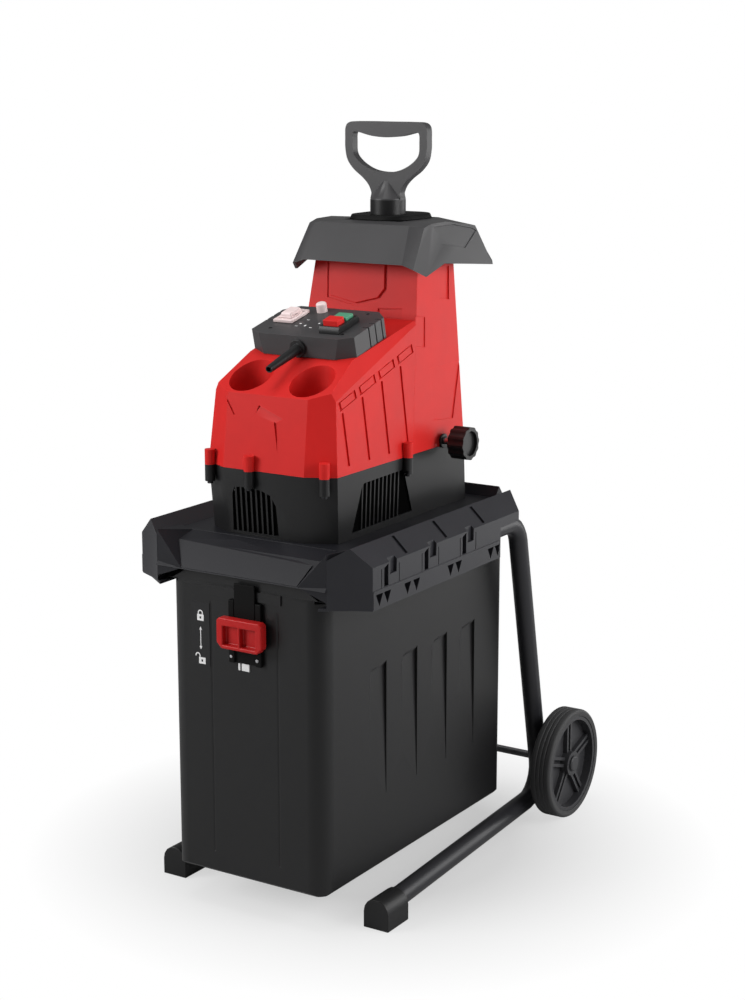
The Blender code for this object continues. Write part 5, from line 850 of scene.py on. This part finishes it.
FLANK_POCKETS = (
    (((0.0417, 0.9194), (0.0711, 0.9170), (0.0653, 0.8680), (0.0360, 0.8709)), 0.0022),
    (((-0.0340, 0.8516), (-0.0074, 0.8486), (-0.0126, 0.8048), (-0.0395, 0.8081)), 0.0014),
    (((-0.0021, 0.7715), (0.0874, 0.7722), (0.0563, 0.6886), (-0.0025, 0.6944)), 0.0018),
)


def on_tower(outline, out, deep):
    """A plate on the tower's sloping front, from an outline of (x, z)."""
    corners = [(x, TOWER_TOP.y + TOWER_LEAN * (z - TOWER_TOP.z), z) for x, z in outline]
    return slab(corners, TOWER_NORMAL, out, deep)


moat = on_tower(TOWER_GROOVE, CLEAR, TOWER_GROOVE_DEPTH)
moat = cut(moat, on_tower(TOWER_KEEP, THROUGH, THROUGH))
cuts = [moat, on_tower(TOWER_POCKET, CLEAR, TOWER_POCKET_DEPTH)]
for outline, depth in FLANK_POCKETS:
    cuts += both_sides(slab([flank(y, z) for y, z in outline], FLANK_NORMAL, CLEAR, depth))
middle_x, middle_z = RAISED_MIDDLE
raised = []
for x, z in TOWER_PANEL:
    raised.append((middle_x + (x - middle_x) * RAISED_SHARE, middle_z + (z - middle_z) * RAISED_SHARE))
tower = join(cut(copied("hopper_tower"), *cuts), on_tower(raised, RAISED_OUT, RAISED_IN))
dress("hopper_tower_shell", tower, "hopper_tower", soft=0.0016, segments=3, angle=20)


# Hood: grey plastic cap pressed over the tower. Its edges are well rounded, and each wing has a shallow
# pressed panel.
WING_NORMAL = Vector((0.9505, 0.0258, 0.3098))
WING_PANEL = (
    (0.1012, 0.0650, 0.9800), (0.1024, 0.0060, 0.9800), (0.1102, 0.0110, 0.9564),
    (0.1120, 0.0826, 0.9446), (0.1034, 0.1310, 0.9670), (0.1022, 0.1200, 0.9710),
)
WING_DEPTH = 0.0014
hood = cut(copied("hood"), *both_sides(slab(WING_PANEL, WING_NORMAL, THROUGH, WING_DEPTH)))
dress("hood_shell", hood, "hood", soft=0.0042, segments=4, angle=26)


# Control panel: grey moulded box fixed over the motor by four sunk screws in its top. Its edges are
# rounded, and three grooves run round each side edge, deep in the side and shallow on top.
PANEL_FOOT = Vector((0, -0.20035, 0.8355))
PANEL_ALONG = Vector((0, 0.97014, 0.24254))
PANEL_UP = Vector((0, -0.24254, 0.97014))
PANEL_GROOVES = (0.051, 0.068, 0.085)
PANEL_GROOVE_CUTS = (
    ((0.0868, 0.10), (-0.05, 0.01), 0.0014),
    ((0.0780, 0.11), (-0.0014, 0.012), 0.0012),
)
PANEL_SCREWS = ((-0.0617, 0.0214), (0.0640, 0.0190), (0.0560, 0.1020), (-0.0700, 0.1000))
PANEL_SCREW_HOLE = ((0, -0.0020), (0.0032, -0.0020), (0.0032, CLEAR), (0, CLEAR))
PANEL_SCREW_HOLE_STEPS = 24
PANEL_SCREW_HEAD = ((0, -0.0022), (0.0029, -0.0022), (0.0026, -0.0010), (0, -0.0010))
PANEL_SCREW_HEAD_STEPS = 20


def on_panel(x, along, up):
    return PANEL_FOOT + Vector((x, 0, 0)) + PANEL_ALONG * along + PANEL_UP * up


cuts = []
for along in PANEL_GROOVES:
    for across, heights, half_w in PANEL_GROOVE_CUTS:
        sides = (along - half_w, along + half_w)
        points = [on_panel(x, side, up) for x in across for up in heights for side in sides]
        cuts += both_sides(hull(points))
for x, along in PANEL_SCREWS:
    cuts.append(spun(PANEL_SCREW_HOLE, on_panel(x, along, 0), PANEL_UP, PANEL_SCREW_HOLE_STEPS))
panel = cut(copied("control_panel"), *cuts)
dress("control_panel_box", panel, "control_panel", soft=0.0030, segments=4, angle=30)
for count, (x, along) in enumerate(PANEL_SCREWS):
    head = spun(PANEL_SCREW_HEAD, on_panel(x, along, 0), PANEL_UP, PANEL_SCREW_HEAD_STEPS)
    extra("panel_screw_" + str(count), head, PAINT["black_steel"])


# Switch gear: the buttons' black plastic base has crisp edges, so that they keep their play. A pale dust
# cap sits on the rocker, and plain white marks are printed on the panel between them.
ROCKER_X = -0.054
ROCKER_ALONG = 0.066
CAP_LEVELS = ((0.0062, 0.0100, 0.0145), (0.0110, 0.0090, 0.0130), (0.0128, 0.0074, 0.0112))
CAP_EDGE = 0.0014
MARKS = (
    (-0.026, 0.036, 0.0050, 0.0012), (-0.025, 0.046, 0.0030, 0.0030), (-0.013, 0.040, 0.0022, 0.0050),
    (0.000, 0.034, 0.0045, 0.0012), (0.004, 0.052, 0.0030, 0.0030), (0.017, 0.046, 0.0012, 0.0050),
    (-0.022, 0.062, 0.0045, 0.0012), (0.010, 0.066, 0.0040, 0.0012),
)
MARK_T = 0.0002
MARK_EDGE = 0.00005
dress("switch_base_moulding", copied("switch_base"), "switch_base", soft=0.0002)
cap = hull([
    on_panel(ROCKER_X + x * half_w, ROCKER_ALONG + y * half_l, up)
    for up, half_w, half_l in CAP_LEVELS for x in (-1, 1) for y in (-1, 1)
])
extra("rocker_dust_cap", cap, PAINT["pale_plastic"], "rocker_body", CAP_EDGE)
for count, (x, along, width, length) in enumerate(MARKS):
    outline = upright(x, width / 2, along - length / 2, along + length / 2)
    mark = slab([on_panel(*place, 0) for place in outline], PANEL_UP, MARK_T, STUCK_IN)
    extra("panel_mark_" + str(count), mark, ink, soft=MARK_EDGE)


# Plunger: one grey moulding pushed down the hopper by hand. Its grip is a smooth ring with a sagging bar
# and a bowl below, and runs down through a cone into the round neck. A black flange and a black sleeve
# round the neck close the hood's mouth. The flange is painted a deeper, duller black than the sleeve:
# partly its own black, partly painted shade of the dark mouth.
PLUNGER_Y = 0.043
PLUNGER_FOOT = (0, PLUNGER_Y, 0)
GRIP_HALF_T = 0.0075
GRIP_STEPS = 5
GRIP_OUTSIDE = (
    (0, 1.1300), (0.045, 1.1300), (0.064, 1.1287), (0.0713, 1.1212), (0.0720, 1.1050), (0.0718, 1.0900),
    (0.0680, 1.0730), (0.0570, 1.0590), (0.0410, 1.0470), (0.0305, 1.0365), (0.0252, 1.0250),
    (0.0230, 1.0120),
)
GRIP_INSIDE = (
    (0, 1.1070), (0.025, 1.1088), (0.048, 1.1140), (0.0560, 1.1146), (0.0588, 1.1105), (0.0590, 1.1000),
    (0.0584, 1.0850), (0.0530, 1.0755), (0.0400, 1.0655), (0.0220, 1.0580), (0, 1.0555),
)
NECK_R = 0.0265
NECK_TOP_Z = 1.0155
CAD_GRIP = ((-0.2, -0.2, NECK_TOP_Z - 0.004), (0.2, 0.3, 1.3))
CONE = (
    (0, 1.0), (NECK_R, 1.0), (NECK_R, NECK_TOP_Z), (NECK_R - 0.001, NECK_TOP_Z + 0.002), (0.005, 1.0470),
    (0, 1.0490),
)
CONE_STEPS = 48
FLANGE_Z = (0.9868, 0.9935)
FLANGE_CORNERS = ((-0.0175, -0.0150), (0.0175, -0.0150), (-0.0175, 0.0320), (0.0175, 0.0320))
FLANGE_CORNER_R = (0.035, 0.032)
FLANGE_STEPS = 32
FLANGE_EDGE = 0.0010
SLEEVE_R = (NECK_R - 0.001, NECK_R + 0.0004)
SLEEVE_Z = (0.9850, 1.0150)
SLEEVE_STEPS = 64
SLEEVE_EDGE = 0.0002


def smooth_ring(half):
    """A smooth closed outline through the points of its right half and their mirror."""
    ring = list(half) + [(-x, z) for x, z in reversed(half) if x > 0]
    points = []
    for i in range(len(ring)):
        a, b, c, d = (Vector(ring[(i + k) % len(ring)]) for k in (-1, 0, 1, 2))
        for step in range(GRIP_STEPS):
            t = step / GRIP_STEPS
            point = 2 * b + (c - a) * t
            point += (2 * a - 5 * b + 4 * c - d) * t**2
            point += (3 * b - a - 3 * c + d) * t**3
            points.append(0.5 * point)
    return [(point.x, PLUNGER_Y, point.y) for point in points]


grip = slab(smooth_ring(GRIP_OUTSIDE), (0, -1, 0), GRIP_HALF_T, GRIP_HALF_T)
grip = cut(grip, slab(smooth_ring(GRIP_INSIDE), (0, -1, 0), THROUGH, THROUGH))
cone = spun(CONE, PLUNGER_FOOT, (0, 0, 1), CONE_STEPS)
plunger = join(cut(copied("plunger"), box(*CAD_GRIP)), cone, grip)
dress("plunger_moulding", plunger, "plunger", soft=0.0030, segments=3, angle=38, body="plunger_body")
rim = []
for x, y in FLANGE_CORNERS:
    for step in range(FLANGE_STEPS):
        angle = math.tau * step / FLANGE_STEPS
        way = Vector((math.cos(angle), math.sin(angle), 0))
        for z, radius in zip(FLANGE_Z, FLANGE_CORNER_R):
            rim.append(Vector((x, PLUNGER_Y + y, z)) + way * radius)
extra("plunger_flange", hull(rim), black_and_painted_shade, "plunger_body", FLANGE_EDGE)
(inner_r, outer_r), (low_z, high_z) = SLEEVE_R, SLEEVE_Z
sleeve_outline = ((inner_r, low_z), (outer_r, low_z), (outer_r, high_z), (inner_r, high_z))
sleeve = spun(sleeve_outline, PLUNGER_FOOT, (0, 0, 1), SLEEVE_STEPS)
extra("plunger_sleeve", sleeve, PAINT["black_plastic"], "plunger_body", SLEEVE_EDGE)
